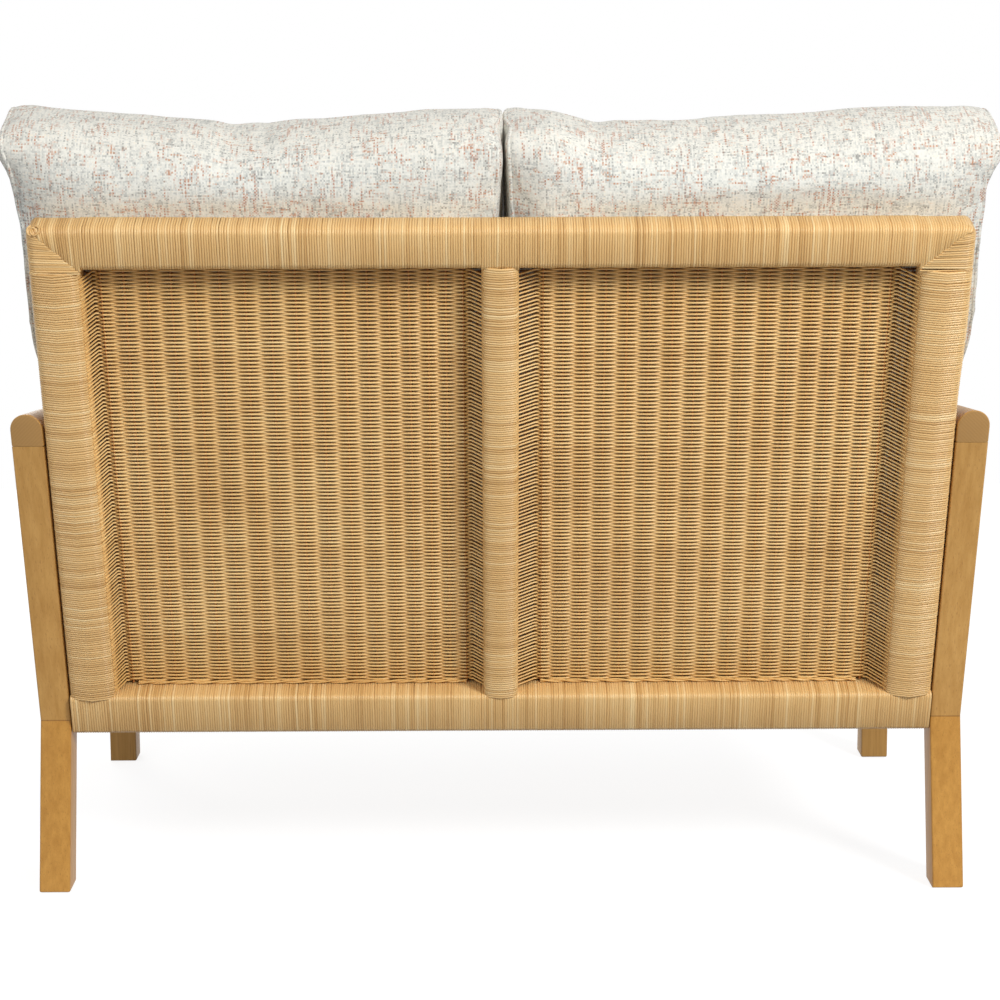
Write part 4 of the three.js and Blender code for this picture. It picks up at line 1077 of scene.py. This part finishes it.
def settled(point, box, upright):
    """Where a point of a filled cover comes to rest. The sides that face each other bulge between
    their edges until they nearly touch, and a back cushion's top edge gets its own line."""
    at = point.copy()
    below = point.z - box[1].z
    side = 1 if box[0].x > 0 else -1
    outer, inner = (box[1].x, box[0].x) if side > 0 else (box[0].x, box[1].x)
    from_outer, from_inner = abs(point.x - outer), abs(point.x - inner)
    meeting = 0.0
    if upright:
        meeting = MEETING
        drop, shoulder, extra = CORNERS[side]
        corner_drop = drop * (1 - eased_share(from_outer / 0.042))
        at.z += (crest_lift(point.x) - corner_drop) * eased_share((below + CREST_REACH) / CREST_REACH)
        low = eased_share((STILE_HIGH - point.z) / 0.04) * eased_share((point.z - STILE_LOW) / 0.05)
        wider = SHOULDER * eased_share((below + shoulder) / (shoulder - 0.02))
        wider += CORNER_REACH * eased_share((below + 0.05) / 0.045)
        wider += extra * low + hump(point.z, 0.525, 0.03, 0.0045)
        curled = hump(point.z, BACK_HEIGHT + 0.03, 0.07, CURL)
        at.y -= curled * eased_share(1 - (from_outer if side > 0 else from_inner) / 0.055)
        at.x += side * wider * eased_share(1 - from_outer / 0.07)
        at.x += MEETING * eased_share(1 - from_inner / 0.09)
    if from_inner < INNER_REACH:
        middle, half = (box[0].y + box[1].y) / 2, (box[1].y - box[0].y) / 2
        across = (point.y - middle) / half
        bulge = INNER_BULGE * eased_share((0.50 - abs(across)) / 0.4)
        if upright:
            bulge += 0.005 * max(0.0, across) ** 3 * eased_share((below + 0.10) / 0.10)
        at.x -= side * bulge * (1 - from_inner / INNER_REACH)
    at.x = meeting + side * max(side * (at.x - meeting), CLEAR)
    return at


def laid_on(path, cover):
    """A seam's path laid on the cover, so that its piping lies half in the cloth."""
    found = [cover.find_nearest(point) for point in path]
    return smoothed([place - normal * PIPING_SUNK for place, normal, _, _ in found], 2)


def tucked(mesh, seams, box, upright):
    """Soft unevenness of the filling, the dip on both sides of each seam, short puckers that run away
    from it, and the swell of a back cushion over the top rail."""
    tree = nearest_seam(seams)
    middle = (box[0].y + box[1].y) / 2
    normals = [v.normal.copy() for v in mesh.vertices]
    for vertex, normal in zip(mesh.vertices, normals):
        at = vertex.co.copy()
        _, place, distance = tree.find(at)
        lift = 0.0022 * noise.noise(at * 11) + 0.0008 * noise.noise(at * 34)
        lift -= DIP * math.exp(-((distance / DIP_WIDTH) ** 2))
        if distance < PUCKER_REACH:
            fade = (1 - distance / PUCKER_REACH) ** 2 * min(1.0, distance / 0.008)
            lift += PUCKER * fade * noise.noise(Vector((place * 0.31, distance * 18, 4)))
        at += normal * lift
        if upright and at.y > middle:
            above = min(1.0, max(0.0, (at.z - BACK_HEIGHT) / (box[1].z - BACK_HEIGHT)))
            at.y += PUFF * math.sin(math.pi * above) * eased_share(distance / 0.06)
        vertex.co = settled(at, box, upright)


def cloth_map(mesh, box):
    """A UV map in metres: the cloth runs over the rear, the top and the front in one piece, and the
    side panels have their own."""
    layer = mesh.uv_layers.new(name="cloth")
    top, front = box[1].z, box[0].y
    for face in mesh.polygons:
        normal = face.normal
        size = [abs(c) for c in normal]
        for loop in face.loop_indices:
            p = mesh.vertices[mesh.loops[loop].vertex_index].co
            if size[0] > 1.3 * max(size[1], size[2]):
                uv = (p.y + 3, p.z)
            elif size[2] > size[1]:
                uv = (p.x, top - p.y if normal.z > 0 else p.y - top)
            elif normal.y > 0:
                uv = (p.x, p.z)
            else:
                uv = (p.x, top - front + top - p.z)
            layer.data[loop].uv = uv


def add_cushions(cloth):
    covers = []
    for kind, axes, up in (("seat", SEAT, 1), ("back", BACK, 2)):
        for word in ("left", "right"):
            node = f"{kind}_cushion_{word}"
            piece, box = drawn_in(node, axes)
            seams = seam_paths(piece.data, box, up)
            pinned(piece, seams)
            covers.append((node, piece, box, axes, seams, f"{word}_{kind}_cushion"))
    blown_up([cover[1] for cover in covers])
    for node, piece, box, axes, seams, body in covers:
        piece.vertex_groups.clear()
        smooth = piece.modifiers.new("smooth", "SUBSURF")
        smooth.levels = smooth.render_levels = 1
        finer = modified(piece)
        piece.data = finer
        upright = node.startswith("back")
        tucked(finer, seams, box, upright)
        cover = BVHTree.FromPolygons([v.co for v in finer.vertices], [p.vertices[:] for p in finer.polygons])
        seams = [laid_on([settled(point, box, upright) for point in path], cover) for path in seams]
        piping = strands(seams, True, Matrix(), cloth, 5, radius=PIPING, girth_spread=0.0, sides=10, **STILL)
        piece.data.materials.append(cloth)
        joined(piece.name, [piece, piping])
        cloth_map(piece.data, box)
        piece.data.transform(axes)
        piece.data.shade_smooth()
        dress(piece, body, [node])


# ---- the whole sofa ----------------------------------------------------------------------------


def repaint(finish, *words):
    """Paints the frame's own nodes whose names hold one of the words."""
    for name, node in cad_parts.items():
        if any(word in name for word in words):
            painted(node.data, finish)


add_camera()
add_studio()
add_floor()

wound = rattan("peeled_rattan_winding", "#f7dda8", "#e2ba7c", "#b98a4c")
# The weavers' hollow colour is painted shade.
woven = rattan("peeled_rattan_weaver", "#ffe5a8", "#f2c883", "#bd8b48", 0.12, hollow_shade="#74481f")
stake = rattan("rattan_stake", "#b4733c", "#a0622f", "#7d4a22")
add_back_windings(wound)
add_front_winding(wound)
add_weave(woven, stake)
add_side_strands(woven)
add_timber()
add_cushions(tweed())

# Sawn softwood, dull and painted dark as painted shade for the slits between the strands where it shows, in
# patches of about 33 mm.
shaded_softwood = plain("sawn_softwood_core", "#5a4026", 0.7, 30, Roughness=0.9)
add_upper_cores(shaded_softwood)
repaint(shaded_softwood, "core_")
# Zinc-plated steel is grey with a soft shine, and moulded polyethylene smooth and nearly matt.
repaint(plain("zinc_plated_steel", "#9a9da1", 0.8, 60, Roughness=0.35, Metallic=1.0), "bolt", "screw")
repaint(plain("moulded_polyethylene", "#2b2622", 0.8, 60, Roughness=0.6), "glide", "spacer")
